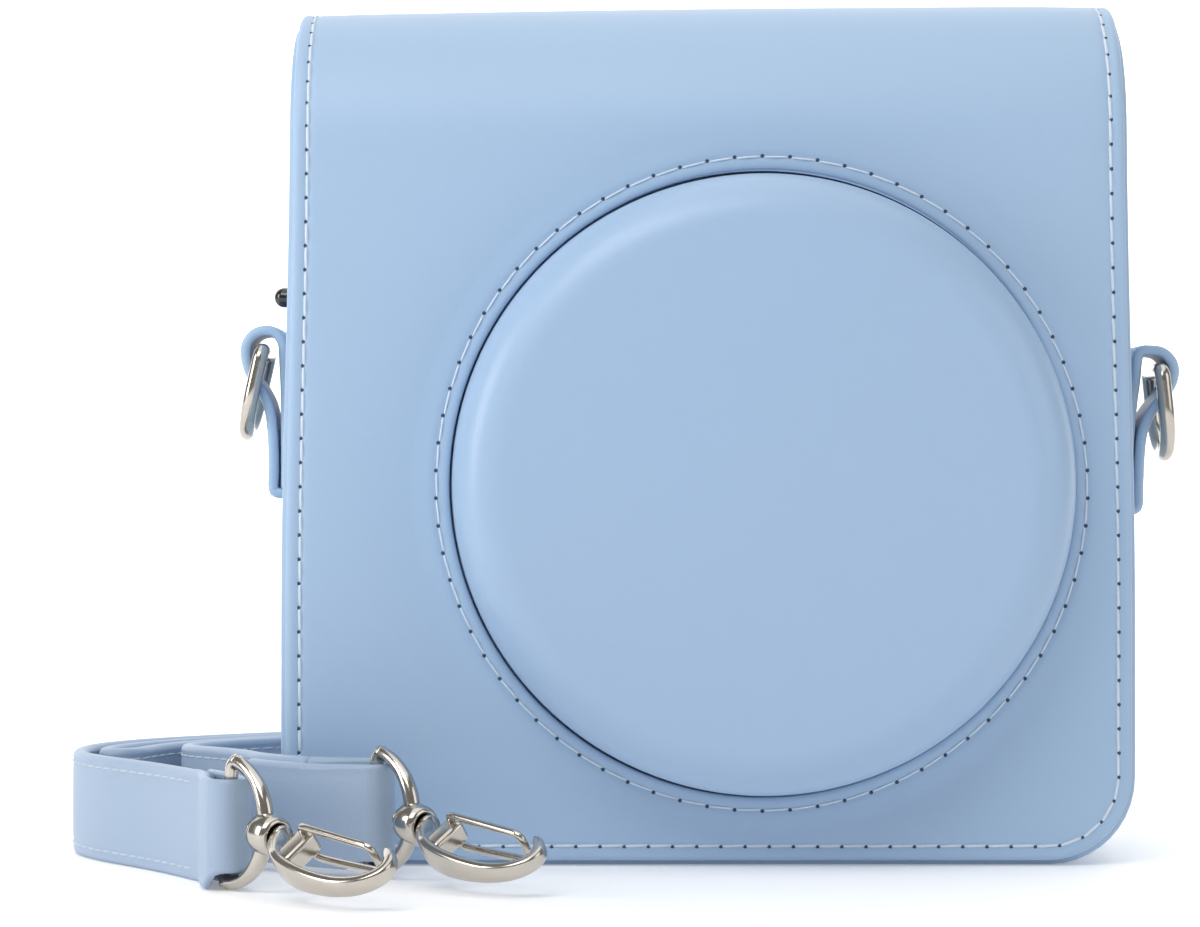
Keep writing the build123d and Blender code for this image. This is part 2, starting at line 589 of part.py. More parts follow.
def make_side_lug():
    """The camera's strap lug: a round-ended stud that comes out through the case's left wall."""
    radius = LUG["r"]
    inner = -CAM_HALF + CAM_WALL
    stud = rod_x(radius, LUG["y"], LUG["z"], LUG["tip"] + radius, inner)
    flange = rod_x(radius + 1.5, LUG["y"], LUG["z"], inner, inner + 1.2)
    return one(stud + flange + Pos(LUG["tip"] + radius, LUG["y"], LUG["z"]) * Sphere(radius))


def make_screws():
    """Four cross-head screws that hold the shells together."""
    screws = []
    for x, z in SCREW_SPOTS:
        head = disc_y(SCREW_R, x, z, CAM_BACK - 1.2, CAM_BACK - 0.3) + disc_y(0.8, x, z, 12, CAM_BACK - 1.2)
        for turn in (0, 90):
            head -= Pos(x, CAM_BACK - 0.3, z) * Rot(0, turn, 0) * Box(1.8, 0.8, 0.35)
        screws.append(one(head))
    return Compound(screws)


def save_camera():
    hollow = make_camera_shell()
    save("camera_front_shell", make_front_shell(hollow))
    save("camera_rear_shell", make_rear_shell(hollow))
    save("film_door", make_film_door())
    save("battery_door", make_battery_door())
    save("lens_barrel", make_lens_barrel())
    save("lens_ring", make_lens_ring())
    save("lens_bezel", make_lens_bezel())
    save("lens_glass", make_lens_glass())
    save("lens_group", make_lens_group())
    for name, window in WINDOWS.items():
        save(name, one(window_cut(*window, SKIN_GAP, CAM_FRONT + 0.4, CAM_FRONT + CAM_WALL)))
    x, z, radius = EYEPIECE
    save("viewfinder_eyepiece", one(disc_y(radius - SKIN_GAP, x, z, CAM_BACK - CAM_WALL, CAM_BACK - 0.2)))
    save("viewfinder_tube", make_viewfinder_tube())
    save("flash_reflector", make_flash_reflector())
    button = disc_y(BUTTON_R, *BUTTON, *BUTTON_Y)
    save("shutter_button", one(fillet(button.edges(), EDGE_R)))
    x, z = BUTTON
    save("shutter_switch", one(box_between((x - 4, -15.4, z - 4), (x + 4, -11, z + 4))))
    save("film_cartridge", make_film_cartridge())
    save("film_sheets", make_film_sheets())
    offset = ROLLER_R + RUNNING_FIT
    save("film_roller_front", make_roller(FILM_Y - offset))
    save("film_roller_rear", make_roller(FILM_Y + offset))
    save("roller_brackets", make_roller_brackets(FILM_Y - offset, FILM_Y + offset))
    save("roller_motor", one(rod_x(6, 6, ROLLER_Z - 1, -62.5, -50)))
    save("batteries", make_batteries())
    save("flash_capacitor", one(Pos(56, -9, 85) * Cylinder(6.5, 32)))
    save("circuit_board", make_circuit_board())
    save("camera_side_lug", make_side_lug())
    save("shell_screws", make_screws())


def main():
    os.makedirs("parts", exist_ok=True)

    # case body
    save("gusset", make_gusset())
    save("back_panel", make_back_panel())
    save("body_lining", make_body_lining())
    save("front_lip", make_front_lip())
    save("lip_magnets", make_magnets(WALL_FRONT + LIP_T - MAGNET_T))
    save("tab_left", make_tab(LEFT_TAB))
    save("tab_right", make_tab(RIGHT_TAB))
    save("d_ring_left", make_d_ring(LEFT_TAB))
    save("d_ring_right", make_d_ring(RIGHT_TAB))

    # flap
    save("flap_panel", make_flap_panel())
    save("flap_lining", make_flap_lining())
    save("flap_magnets", make_magnets(INNER_FRONT - MAGNET_T))
    save("lens_cup", make_cup(CUP_R, FRONT_Y - CUP_DEPTH, CUP_SHOULDER_R, CUP_WALL_T, CUP_FLANGE_R))
    cup_inside = (CUP_R - CUP_WALL_T, FRONT_Y - CUP_DEPTH + CUP_WALL_T, CUP_SHOULDER_R - CUP_WALL_T)
    save("cup_lining", make_cup(*cup_inside, LINING_T, None))

    save_camera()

    # strap
    save("strap", make_strap())
    for number, end, joint in ((1, END_1, ROUTE[0]), (2, END_2, ROUTE[-1])):
        save(f"strap_end_{number}", make_strap_end(end, joint))
        save(f"strap_ring_{number}", make_strap_ring(end))
        save(f"snap_hook_{number}", make_snap_hook(end))
        save(f"wire_gate_{number}", make_wire_gate(end))


main()
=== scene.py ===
"""A square instant camera's fitted leather case, closed, with its strap beside it, in metres."""
import json
import math

import bmesh
import bpy
import numpy as np
from bpy.props import FloatProperty, FloatVectorProperty, PointerProperty
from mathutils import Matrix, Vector


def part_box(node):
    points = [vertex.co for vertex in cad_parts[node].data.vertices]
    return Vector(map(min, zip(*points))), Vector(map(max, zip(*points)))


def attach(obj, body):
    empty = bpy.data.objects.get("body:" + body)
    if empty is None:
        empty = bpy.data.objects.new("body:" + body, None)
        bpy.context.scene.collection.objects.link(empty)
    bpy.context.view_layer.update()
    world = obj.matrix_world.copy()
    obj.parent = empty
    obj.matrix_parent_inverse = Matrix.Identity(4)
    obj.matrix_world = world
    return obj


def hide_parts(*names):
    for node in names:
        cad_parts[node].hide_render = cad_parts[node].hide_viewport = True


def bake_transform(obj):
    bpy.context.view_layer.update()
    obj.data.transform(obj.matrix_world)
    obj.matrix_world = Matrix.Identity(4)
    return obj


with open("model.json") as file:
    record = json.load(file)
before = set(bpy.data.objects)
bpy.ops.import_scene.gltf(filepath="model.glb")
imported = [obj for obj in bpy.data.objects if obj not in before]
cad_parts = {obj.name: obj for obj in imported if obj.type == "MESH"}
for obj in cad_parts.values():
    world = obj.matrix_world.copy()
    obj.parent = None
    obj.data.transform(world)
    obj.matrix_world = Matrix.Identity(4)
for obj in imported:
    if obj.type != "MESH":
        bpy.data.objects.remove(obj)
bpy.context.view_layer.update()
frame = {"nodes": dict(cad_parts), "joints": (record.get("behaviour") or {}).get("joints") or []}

bl_info = {
    "name": "Fitted camera case",
    "version": (1, 0, 0),
    "blender": (4, 5, 0),
    "location": "View3D > Sidebar > Camera Case",
    "description": "Builds a leather camera case, its strap and metalwork round the packed model",
    "category": "Object",
}

MM = 0.001
JOINTS = {joint["name"]: joint for joint in frame["joints"]}

# ---- sizes taken from the frame ----
FLAP_LOW, FLAP_HIGH = (np.array(corner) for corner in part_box("flap_panel"))
BACK_LOW, BACK_HIGH = (np.array(corner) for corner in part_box("back_panel"))
GUSSET_LOW, GUSSET_HIGH = (np.array(corner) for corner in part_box("gusset"))
CUP_LOW, CUP_HIGH = (np.array(corner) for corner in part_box("lens_cup"))
CUP_X = (CUP_LOW[0] + CUP_HIGH[0]) / 2
CUP_Z = (CUP_LOW[2] + CUP_HIGH[2]) / 2

BOARD = 2.2 * MM             # leather-covered board
CORNER = 14 * MM             # lower corners of front and back
BEND = 23 * MM               # outside of the top front bend
HINGE_BEND = 3.6 * MM        # outside of the leather bend over the hinge
SEAM_EDGE = 2.45 * MM        # stitch line to edge
GROOVE_DEEP = 0.20 * MM      # the pressed line under the stitches
GROOVE_WIDE = 0.55 * MM
PLUMP = 0.30 * MM            # padding under the leather, and how far in from the seam it fills out
PLUMP_REACH = 7 * MM
UNEVEN = 0.10 * MM           # height of the leather's slow waves
NARROW = 1.3 * MM            # how much a side the case narrows to its top
NARROW_FROM, NARROW_TO = 0.040, 0.125
TILT_FROM, TILT_TO = 0.075, 0.142
CUP_R = 51 * MM
CUP_SEAM_R = 53.15 * MM
CUP_LEATHER = 1.4 * MM
GUSSET_THICK = 2.0 * MM
GUSSET_BULGE = 1.3 * MM
STRAP_THREAD = 0.38 * MM
TAB_HALF_THICK = 0.88        # the numbers below are millimetres, in a piece's own directions
D_WIRE = 1.3
D_HALF, D_DROP, D_CORNER = 7.7, 14.1, 1.5
END_RING_HALF, END_RING_REACH = 9.45, 9.6
FOLD_ROUND = 2.9             # a fold's centre line round the ring's bar
TAIL_STAND = 1.9             # and of its tail, off the strap's

# The strap's route, standing on its edge: control points in millimetres.
ROUTE = [
    (-79.3, -49.0), (-85.5, -37.5), (-93.0, -26.5), (-101.0, -16.0), (-106.3, -4.5), (-105.8, 8.0),
    (-99.0, 19.2), (-88.5, 28.4), (-76.5, 36.0), (-62.5, 44.0), (-46.0, 49.8), (-20.0, 50.5), (15.0, 49.9),
    (44.0, 50.2), (51.5, 51.4), (51.5, 55.9), (44.0, 57.1), (15.0, 56.9), (-20.0, 57.3), (-44.0, 57.1),
    (-51.5, 58.3), (-51.5, 62.8), (-44.0, 64.0), (-20.0, 64.2), (15.0, 63.8), (44.0, 64.0), (57.0, 63.4),
    (65.0, 58.5), (65.2, 48.8), (57.0, 43.9), (40.0, 43.3), (10.0, 43.6), (-22.0, 43.1), (-48.0, 42.6),
    (-65.0, 38.4), (-77.5, 31.9), (-88.3, 24.2), (-97.2, 14.0), (-102.4, 3.5), (-101.4, -2.4), (-97.0, -1.2),
    (-93.8, 9.0), (-86.0, 20.0), (-76.3, 28.2), (-62.5, 34.6), (-44.0, 36.5), (-12.0, 36.2), (22.0, 36.6),
    (46.0, 36.3), (53.6, 35.1), (53.6, 30.7), (46.0, 29.5), (22.0, 29.2), (-12.0, 29.6), (-42.0, 29.4),
    (-60.0, 29.0), (-71.5, 27.6), (-80.2, 20.5), (-86.8, 11.5), (-88.8, 3.0), (-85.8, -5.5), (-80.0, -13.5),
    (-75.2, -21.5), (-71.9, -29.6), (-64.2, -35.6),
]


# ---- mesh helpers ----
def unit(v):
    """Rows of v at length one."""
    return v / np.maximum(np.linalg.norm(v, axis=-1, keepdims=True), 1e-12)


def smooth(x, low, high):
    """0 below low, 1 above high, and the cubic 3t2 - 2t3 between."""
    t = np.clip((np.asarray(x, float) - low) / (high - low), 0, 1)
    return t * t * (3 - 2 * t)


def grid_faces(rows, columns, wrap_rows=False, wrap_columns=False, start=0):
    """Quads of a grid stored row by row; a wrapped direction joins its last line to its first."""
    r = np.arange(rows if wrap_rows else rows - 1)
    c = np.arange(columns if wrap_columns else columns - 1)
    r, c = (a.ravel() for a in np.meshgrid(r, c, indexing="ij"))
    r1, c1 = (r + 1) % rows, (c + 1) % columns
    return start + np.stack([r * columns + c, r * columns + c1, r1 * columns + c1, r1 * columns + c], 1)


def add_piece(name, vertices, faces, material, slot, body=None, replaces=(), merge=0.0, recalculate=True,
              smooth_angle=None):
    """One mesh object from arrays: its doubles merged, its normals outwards, its faces smooth."""
    mesh = bpy.data.meshes.new(name)
    mesh.from_pydata(np.asarray(vertices, float).reshape(-1, 3).tolist(), [], np.asarray(faces).tolist())
    obj = bpy.data.objects.new(name, mesh)
    bpy.context.scene.collection.objects.link(obj)
    if recalculate:
        clean = bmesh.new()
        clean.from_mesh(mesh)
        if merge:
            bmesh.ops.remove_doubles(clean, verts=clean.verts, dist=merge)
            bmesh.ops.dissolve_degenerate(clean, edges=clean.edges, dist=merge / 10)
        bmesh.ops.recalc_face_normals(clean, faces=clean.faces)
        clean.to_mesh(mesh)
        clean.free()
    mesh.polygons.foreach_set("use_smooth", np.ones(len(mesh.polygons), bool))
    if smooth_angle:
        mesh.set_sharp_from_angle(angle=math.radians(smooth_angle))
    mesh.materials.append(material)
    if replaces:
        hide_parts(*replaces)
    if body:
        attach(obj, body)
    return obj


def b_spline(points, count):
    """An even run along the uniform quadratic B-spline from the first control point to the last."""
    points = np.asarray(points, float)
    starts = (points[:-2] + points[1:-1]) / 2
    ends = (points[1:-1] + points[2:]) / 2
    starts[0], ends[-1] = points[0], points[-1]
    t = np.linspace(0, 1, 40, endpoint=False)[None, :, None]
    fine = (1 - t) ** 2 * starts[:, None] + 2 * t * (1 - t) * points[1:-1, None] + t ** 2 * ends[:, None]
    return even(np.vstack([fine.reshape(-1, points.shape[1]), points[-1:]]), count)


def even(line, count):
    """The same line as count points, evenly spaced along it."""
    length = np.concatenate([[0], np.cumsum(np.linalg.norm(np.diff(line, axis=0), axis=1))])
    at = np.linspace(0, length[-1], count)
    return np.stack([np.interp(at, length, line[:, k]) for k in range(line.shape[1])], 1)


def carried(path, side, up, section, closed=False):
    """A closed section carried along a path: path + section x * side + section y * up at each station."""
    vertices = path[:, None] + section[..., 0:1] * side[:, None] + section[..., 1:2] * up[:, None]
    rows, columns = vertices.shape[:2]
    faces = grid_faces(rows, columns, wrap_rows=closed, wrap_columns=True)
    return vertices.reshape(-1, 3), faces


def capped(vertices, faces, rows, columns):
    """Closes both ends of a carried section with a fan to each end ring's centre."""
    rings = vertices.reshape(rows, columns, 3)
    ends = np.stack([rings[0].mean(0), rings[-1].mean(0)])
    first = np.arange(columns)
    last = first + (rows - 1) * columns
    hub = rows * columns
    fans = [np.stack([first, np.roll(first, -1), np.full(columns, hub)], 1),
            np.stack([np.roll(last, -1), last, np.full(columns, hub + 1)], 1)]
    return np.vstack([vertices, ends]), [*faces.tolist(), *fans[0].tolist(), *fans[1].tolist()]


def circle(count, power=1.0):
    """A superellipse of radius one: |cos|^power and |sin|^power, with their signs."""
    a = np.linspace(0, 2 * math.pi, count, endpoint=False)
    c, s = np.cos(a), np.sin(a)
    return np.stack([np.sign(c) * np.abs(c) ** power, np.sign(s) * np.abs(s) ** power], 1)


class Parts:
    """Several closed shapes gathered into one mesh."""

    def __init__(self):
        self.vertices, self.faces, self.count = [], [], 0

    def add(self, vertices, faces):
        """Adds a shape, its faces renumbered to follow the points already here."""
        self.vertices.append(np.asarray(vertices))
        self.faces += [[int(corner) + self.count for corner in face] for face in faces]
        self.count += len(vertices)

    def piece(self, name, *args, **kwargs):
        faces = np.array(self.faces, dtype=object)
        return add_piece(name, np.vstack(self.vertices), faces, *args, **kwargs)


def tube(line, radius, sides, up_hint):
    """A round tube along a line, its section set square to the line against one up hint at each station."""
    tangent = unit(np.gradient(line, axis=0))
    side = unit(np.cross(tangent, up_hint))
    up = np.cross(side, tangent)
    section = np.tile(circle(sides)[None] * radius, (len(line), 1, 1))
    return capped(*carried(line, side, up, section), len(line), sides)


def turned(profile, origin, axis, across, steps):
    """A profile of (radius, distance along the axis) turned about the axis."""
    profile = np.asarray(profile, float)
    axis, across = unit(np.asarray(axis, float)), unit(np.asarray(across, float))
    third = np.cross(axis, across)
    a = np.linspace(0, 2 * math.pi, steps, endpoint=False)
    ring = np.cos(a)[:, None] * across + np.sin(a)[:, None] * third
    vertices = np.asarray(origin) + profile[None, :, 1:2] * axis + profile[None, :, 0:1] * ring[:, None]
    return vertices.reshape(-1, 3), grid_faces(steps, len(profile), wrap_rows=True)


# ---- materials ----
def new_material(name):
    """A material, its node tree and its shader."""
    material = bpy.data.materials.new(name)
    material.use_nodes = True
    tree = material.node_tree
    shader = next(node for node in tree.nodes if node.type == "BSDF_PRINCIPLED")
    return material, tree, shader


def node(tree, kind, inputs=None, **settings):
    """A node with its settings and input values; an input given as a socket is linked."""
    made = tree.nodes.new(kind)
    for name, value in settings.items():
        setattr(made, name, value)
    for name, value in (inputs or {}).items():
        if isinstance(value, bpy.types.NodeSocket):
            tree.links.new(value, made.inputs[name])
        else:
            made.inputs[name].default_value = value
    return made


def new_group(name, inputs, outputs):
    """An empty shader node group with named sockets."""
    group = bpy.data.node_groups.new(name, "ShaderNodeTree")
    for label, kind, default in inputs:
        socket = group.interface.new_socket(name=label, in_out="INPUT", socket_type=kind)
        if default is not None:
            socket.default_value = default
    for label, kind in outputs:
        group.interface.new_socket(name=label, in_out="OUTPUT", socket_type=kind)
    return group, group.nodes.new("NodeGroupInput"), group.nodes.new("NodeGroupOutput")


def grain_group():
    """Leather grain: pebbles from a Voronoi's distance to its edges, fine noise, and slow waves of colour."""
    group, given, out = new_group(
        "Leather grain",
        [("Pebble size", "NodeSocketFloat", 1500.0), ("Base", "NodeSocketColor", (0.4, 0.55, 0.7, 1)),
         ("Shade", "NodeSocketColor", (0.3, 0.45, 0.6, 1)), ("Mottle", "NodeSocketFloat", 0.25),
         ("Smoothest", "NodeSocketFloat", 0.4), ("Roughest", "NodeSocketFloat", 0.5)],
        [("Color", "NodeSocketColor"), ("Height", "NodeSocketFloat"), ("Roughness", "NodeSocketFloat")])
    place = node(group, "ShaderNodeTexCoord").outputs["Object"]
    pebbles = node(group, "ShaderNodeTexVoronoi", {"Vector": place, "Scale": given.outputs["Pebble size"]},
                   feature="DISTANCE_TO_EDGE")
    fine = node(group, "ShaderNodeTexNoise", {"Vector": place, "Scale": 900.0, "Detail": 5.0})
    slow = node(group, "ShaderNodeTexNoise", {"Vector": place, "Scale": 22.0, "Detail": 3.0})
    creases = node(group, "ShaderNodeMapRange", {"Value": pebbles.outputs["Distance"], "From Max": 0.18})
    height = node(group, "ShaderNodeMath", {0: creases.outputs[0], 1: fine.outputs["Fac"]}, operation="ADD")
    share = node(group, "ShaderNodeMath", {0: slow.outputs["Fac"], 1: given.outputs["Mottle"]},
                 operation="MULTIPLY")
    mixed = node(group, "ShaderNodeMix", {"Factor": share.outputs[0]}, data_type="RGBA")
    group.links.new(given.outputs["Base"], mixed.inputs[6])
    group.links.new(given.outputs["Shade"], mixed.inputs[7])
    rough = node(group, "ShaderNodeMapRange", {"Value": slow.outputs["Fac"],
                                               "To Min": given.outputs["Smoothest"],
                                               "To Max": given.outputs["Roughest"]})
    group.links.new(mixed.outputs[2], out.inputs["Color"])
    group.links.new(height.outputs[0], out.inputs["Height"])
    group.links.new(rough.outputs[0], out.inputs["Roughness"])
    return group


def leather(name, grain, base, shade, bump=0.05, rough=(0.40, 0.50)):
    """A leather from the grain group, with a fine relief and a trace of sheen."""
    material, tree, shader = new_material(name)
    used = node(tree, "ShaderNodeGroup", node_tree=grain)
    used.inputs["Pebble size"].default_value = 1400.0
    used.inputs["Base"].default_value = (*base, 1)
    used.inputs["Shade"].default_value = (*shade, 1)
    used.inputs["Mottle"].default_value = 0.3
    used.inputs["Smoothest"].default_value, used.inputs["Roughest"].default_value = rough
    relief = node(tree, "ShaderNodeBump", {"Height": used.outputs["Height"], "Strength": bump,
                                            "Distance": 0.0002})
    tree.links.new(used.outputs["Color"], shader.inputs["Base Color"])
    tree.links.new(used.outputs["Roughness"], shader.inputs["Roughness"])
    tree.links.new(relief.outputs["Normal"], shader.inputs["Normal"])
    shader.inputs["Specular IOR Level"].default_value = 0.42
    shader.inputs["Sheen Weight"].default_value = 0.06
    shader.inputs["Sheen Roughness"].default_value = 0.5
    return material


def noisy(name, base, other, scale, rough, metallic=0.0, bump=0.1, distance=0.0001, **uniform):
    """A finish whose colour and roughness follow one noise; the rest is uniform and set on the shader."""
    material, tree, shader = new_material(name)
    place = node(tree, "ShaderNodeTexCoord").outputs["Object"]
    noise = node(tree, "ShaderNodeTexNoise", {"Vector": place, "Scale": scale, "Detail": 4.0})
    ramp = node(tree, "ShaderNodeMix", {"Factor": noise.outputs["Fac"]}, data_type="RGBA")
    ramp.inputs[6].default_value = (*base, 1)
    ramp.inputs[7].default_value = (*other, 1)
    roughness = node(tree, "ShaderNodeMapRange", {"Value": noise.outputs["Fac"], "To Min": rough[0],
                                                  "To Max": rough[1]})
    relief = node(tree, "ShaderNodeBump", {"Height": noise.outputs["Fac"], "Strength": bump,
                                            "Distance": distance})
    tree.links.new(ramp.outputs[2], shader.inputs["Base Color"])
    tree.links.new(roughness.outputs[0], shader.inputs["Roughness"])
    tree.links.new(relief.outputs["Normal"], shader.inputs["Normal"])
    shader.inputs["Metallic"].default_value = metallic
    for label, value in uniform.items():
        shader.inputs[label.replace("_", " ")].default_value = value
    return material


MATERIALS = {}


def make_materials(settings):
    """Every finish: four leathers of one grain, threads, metals, plastics, glass and paper."""
    grain = grain_group()
    base = np.array(settings.leather_colour)
    thread = np.array(settings.thread_colour)
    cup = base * np.array([0.96, 0.965, 0.985])
    MATERIALS.update({
        "leather": leather("Flap leather", grain, base, base * 0.90),
        "cup": leather("Cup leather", grain, cup, cup * 0.92, rough=(0.30, 0.38)),
        "side": leather("Side leather", grain, base * 0.98, base * 0.86),
        "strap": leather("Strap leather", grain, base * np.array([0.93, 0.85, 0.82]), base * 0.78, bump=0.12),
        "thread": noisy("Thread", thread, thread * 0.8, 2500.0, (0.55, 0.7), bump=0.3, Sheen_Weight=0.3),
        "strap_thread": noisy("Strap thread", thread * 0.78, thread * 0.62, 2500.0, (0.55, 0.7), bump=0.3),
        # Painted shade: the needle holes' dark is this dark colour on small domes, not a recess in the
        # leather.
        "needle_hole_shade": noisy("Needle hole shade", (0.05, 0.085, 0.14), (0.03, 0.05, 0.09), 2000.0, (0.8, 0.9)),
        "nickel": noisy("Polished nickel", (0.60, 0.56, 0.50), (0.50, 0.46, 0.41), 260.0, (0.12, 0.24), 1.0,
                        0.04),
        "lining": noisy("Plush lining", (0.30, 0.42, 0.58), (0.42, 0.55, 0.70), 1800.0, (0.85, 0.95),
                        bump=0.6, distance=0.0004, Sheen_Weight=0.6),
        "steel": noisy("Plated steel", (0.56, 0.57, 0.58), (0.45, 0.46, 0.47), 400.0, (0.25, 0.4), 1.0),
        "shell": noisy("Matt shell plastic", (0.78, 0.79, 0.78), (0.70, 0.71, 0.71), 2600.0, (0.45, 0.58),
                       bump=0.25),
        "black_gloss": noisy("Gloss black plastic", (0.010, 0.010, 0.012), (0.02, 0.02, 0.022), 120.0,
                             (0.08, 0.16), bump=0.01, Coat_Weight=0.4),
        "black_matte": noisy("Matt black plastic", (0.028, 0.028, 0.03), (0.045, 0.045, 0.048), 2400.0,
                             (0.5, 0.62), bump=0.3),
        "button": noisy("Satin aluminium", (0.72, 0.72, 0.74), (0.62, 0.62, 0.64), 700.0, (0.28, 0.4), 1.0),
        "glass": noisy("Coated glass", (0.75, 0.82, 0.88), (0.70, 0.78, 0.88), 60.0, (0.02, 0.05), bump=0.0,
                       Transmission_Weight=0.85, IOR=1.52),
        "reflector": noisy("Reflector", (0.85, 0.85, 0.86), (0.75, 0.75, 0.76), 300.0, (0.1, 0.2), 1.0, 0.3),
        "paper": noisy("Film sheet", (0.80, 0.80, 0.78), (0.72, 0.72, 0.70), 500.0, (0.3, 0.4)),
        "rubber": noisy("Roller rubber", (0.045, 0.045, 0.045), (0.07, 0.07, 0.07), 1500.0, (0.7, 0.8)),
        "sleeve": noisy("Battery sleeve", (0.10, 0.12, 0.16), (0.15, 0.17, 0.22), 200.0, (0.2, 0.3)),
        "capacitor": noisy("Capacitor sleeve", (0.05, 0.09, 0.2), (0.08, 0.12, 0.25), 200.0, (0.2, 0.3)),
        "circuit": noisy("Solder resist", (0.03, 0.16, 0.09), (0.05, 0.24, 0.13), 500.0, (0.25, 0.4)),
    })


# ---- the wrap: front, bend, top, hinge bend and back, in one piece of leather-covered board ----
def wrap_runs():
    """Arc lengths at which the wrap's profile passes from one run to the next."""
    front = FLAP_HIGH[2] - BEND - FLAP_LOW[2]
    bend = BEND * math.pi / 2
    top = (BACK_HIGH[1] - HINGE_BEND) - (FLAP_LOW[1] + BEND)
    hinge = HINGE_BEND * math.pi / 2
    back = FLAP_HIGH[2] - HINGE_BEND - BACK_LOW[2]
    return np.cumsum([0, front, bend, top, hinge, back])


WRAP = wrap_runs()


def wrap_profile(s):
    """The outer face's (y, z) and outward normal at arc length s from the flap's lower edge."""
    a, b, c, d, e, _ = WRAP
    y0, z0 = FLAP_LOW[1], FLAP_LOW[2]
    y1, z1 = BACK_HIGH[1], FLAP_HIGH[2]
    turn_1 = math.pi - (s - b) / BEND
    turn_2 = math.pi / 2 - (s - d) / HINGE_BEND
    cases = [s < b, s < c, s < d, s < e]
    y = np.select(cases, [np.full_like(s, y0), y0 + BEND + BEND * np.cos(turn_1), y0 + BEND + (s - c),
                          y1 - HINGE_BEND + HINGE_BEND * np.cos(turn_2)], np.full_like(s, y1))
    z = np.select(cases, [z0 + s, z1 - BEND + BEND * np.sin(turn_1), np.full_like(s, z1),
                          z1 - HINGE_BEND + HINGE_BEND * np.sin(turn_2)], z1 - HINGE_BEND - (s - e))
    ny = np.select(cases, [np.full_like(s, -1), np.cos(turn_1), np.zeros_like(s), np.cos(turn_2)],
                   np.ones_like(s))
    nz = np.select(cases, [np.zeros_like(s), np.sin(turn_1), np.ones_like(s), np.sin(turn_2)],
                   np.zeros_like(s))
    return y, z, ny, nz


def wrap_half_width(s):
    """Half the wrap's width: the corners at both ends are quarter circles."""
    w = FLAP_HIGH[0] + (BACK_HIGH[0] - FLAP_HIGH[0]) * smooth(s, WRAP[3], WRAP[4])
    near = np.minimum(s, WRAP[-1] - s)
    drop = np.clip(CORNER - near, 0, CORNER)
    return w - CORNER + np.sqrt(CORNER ** 2 - drop ** 2)


def wrap_edge_distance(s, x):
    """Distance from a point of the wrap to its outline."""
    w = FLAP_HIGH[0] + (BACK_HIGH[0] - FLAP_HIGH[0]) * smooth(s, WRAP[3], WRAP[4])
    near = np.minimum(s, WRAP[-1] - s)
    qx, qy = np.abs(x) - (w - CORNER), CORNER - near
    corner = CORNER - np.hypot(np.maximum(qx, 0), np.maximum(qy, 0))
    return np.where((qx > 0) & (qy > 0), corner, np.minimum(w - np.abs(x), near))


def round_edge(d, thickness):
    """How far a board's face sinks towards its middle at distance d from its rounded edge."""
    r = thickness / 2
    return r - np.sqrt(np.maximum(r * r - np.clip(r - d, 0, r) ** 2, 0))


def swell(s, x):
    """Slow unevenness of hand-made leatherwork: three crossed sine waves, a tenth of a millimetre high."""
    u, v = s / MM, x / MM
    return UNEVEN * (np.sin(u / 19 + v / 31) + 0.7 * np.sin(v / 17 - u / 41) + 0.5 * np.sin(u / 9.5 + 1.3))


def slump(x, z):
    """The soft case's outline: smooth steps of height narrow it towards its top, and tilt the top."""
    narrow = NARROW * smooth(z, NARROW_FROM, NARROW_TO) * smooth(np.abs(x), 0.050, 0.066)
    rise = MM * smooth(z, TILT_FROM, TILT_TO) * (1.0 - 1.35 * smooth(-x, -0.07, 0.07))
    return x - np.sign(x) * narrow, z + rise


def wrap_point(s, x, depth=0.0):
    """A point of the wrap at arc length s and width x, that far below its outer face."""
    s, x = np.broadcast_arrays(np.asarray(s, float), np.asarray(x, float))
    y, z, ny, nz = wrap_profile(s)
    edge = wrap_edge_distance(s, x)
    groove = GROOVE_DEEP * np.exp(-((edge - SEAM_EDGE) / GROOVE_WIDE) ** 2)
    plump = PLUMP * (1 - np.exp(-np.maximum(edge - SEAM_EDGE, 0) / PLUMP_REACH))
    lift = np.where(edge > 0.2 * MM, plump - groove + swell(s, x) * smooth(edge, 0, 6 * MM), 0) - depth
    x, z = slump(x, z + nz * lift)
    return np.stack([x, y + ny * lift, z], -1)


def near_edges(width, fine, coarse):
    """Offsets from 0 to width, fine near both ends and coarse between."""
    half = np.concatenate([fine, np.arange(fine[-1] + coarse, width / 2, coarse)])
    return np.concatenate([half, [width / 2], width - half[::-1]])


FINE = np.array([0, 0.05, 0.18, 0.38, 0.65, 0.95, 1.25, 1.6, 1.9, 2.15, 2.4, 2.65, 2.9, 3.2, 3.6, 4.3, 5.4,
                 7.0, 9.0, 11.5, 14.0]) * MM


def make_wrap():
    """Outer face at depth 0 and inner face one board below, meeting along a round edge."""
    s = near_edges(WRAP[-1], FINE, 1.6 * MM)
    s = np.unique(np.concatenate([s, np.linspace(WRAP[3], WRAP[4], 12), WRAP[1:3]]))
    x = near_edges(2.0, FINE / FLAP_HIGH[0], 1.8 * MM / FLAP_HIGH[0]) - 1
    grid_s = np.repeat(s[:, None], len(x), 1)
    grid_x = wrap_half_width(s)[:, None] * x[None]
    sink = round_edge(wrap_edge_distance(grid_s, grid_x), BOARD)
    outer = wrap_point(grid_s, grid_x, sink)
    inner = wrap_point(grid_s, grid_x, BOARD - sink)
    count = len(s) * len(x)
    faces = np.vstack([grid_faces(len(s), len(x))[:, ::-1], grid_faces(len(s), len(x), start=count)])
    wrap = add_piece("leather_wrap", np.vstack([outer.reshape(-1, 3), inner.reshape(-1, 3)]), faces,
                     MATERIALS["leather"], "leather", replaces=("flap_panel", "back_panel"), merge=0.01 * MM)
    cut_cup_hole(wrap)
    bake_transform(wrap)


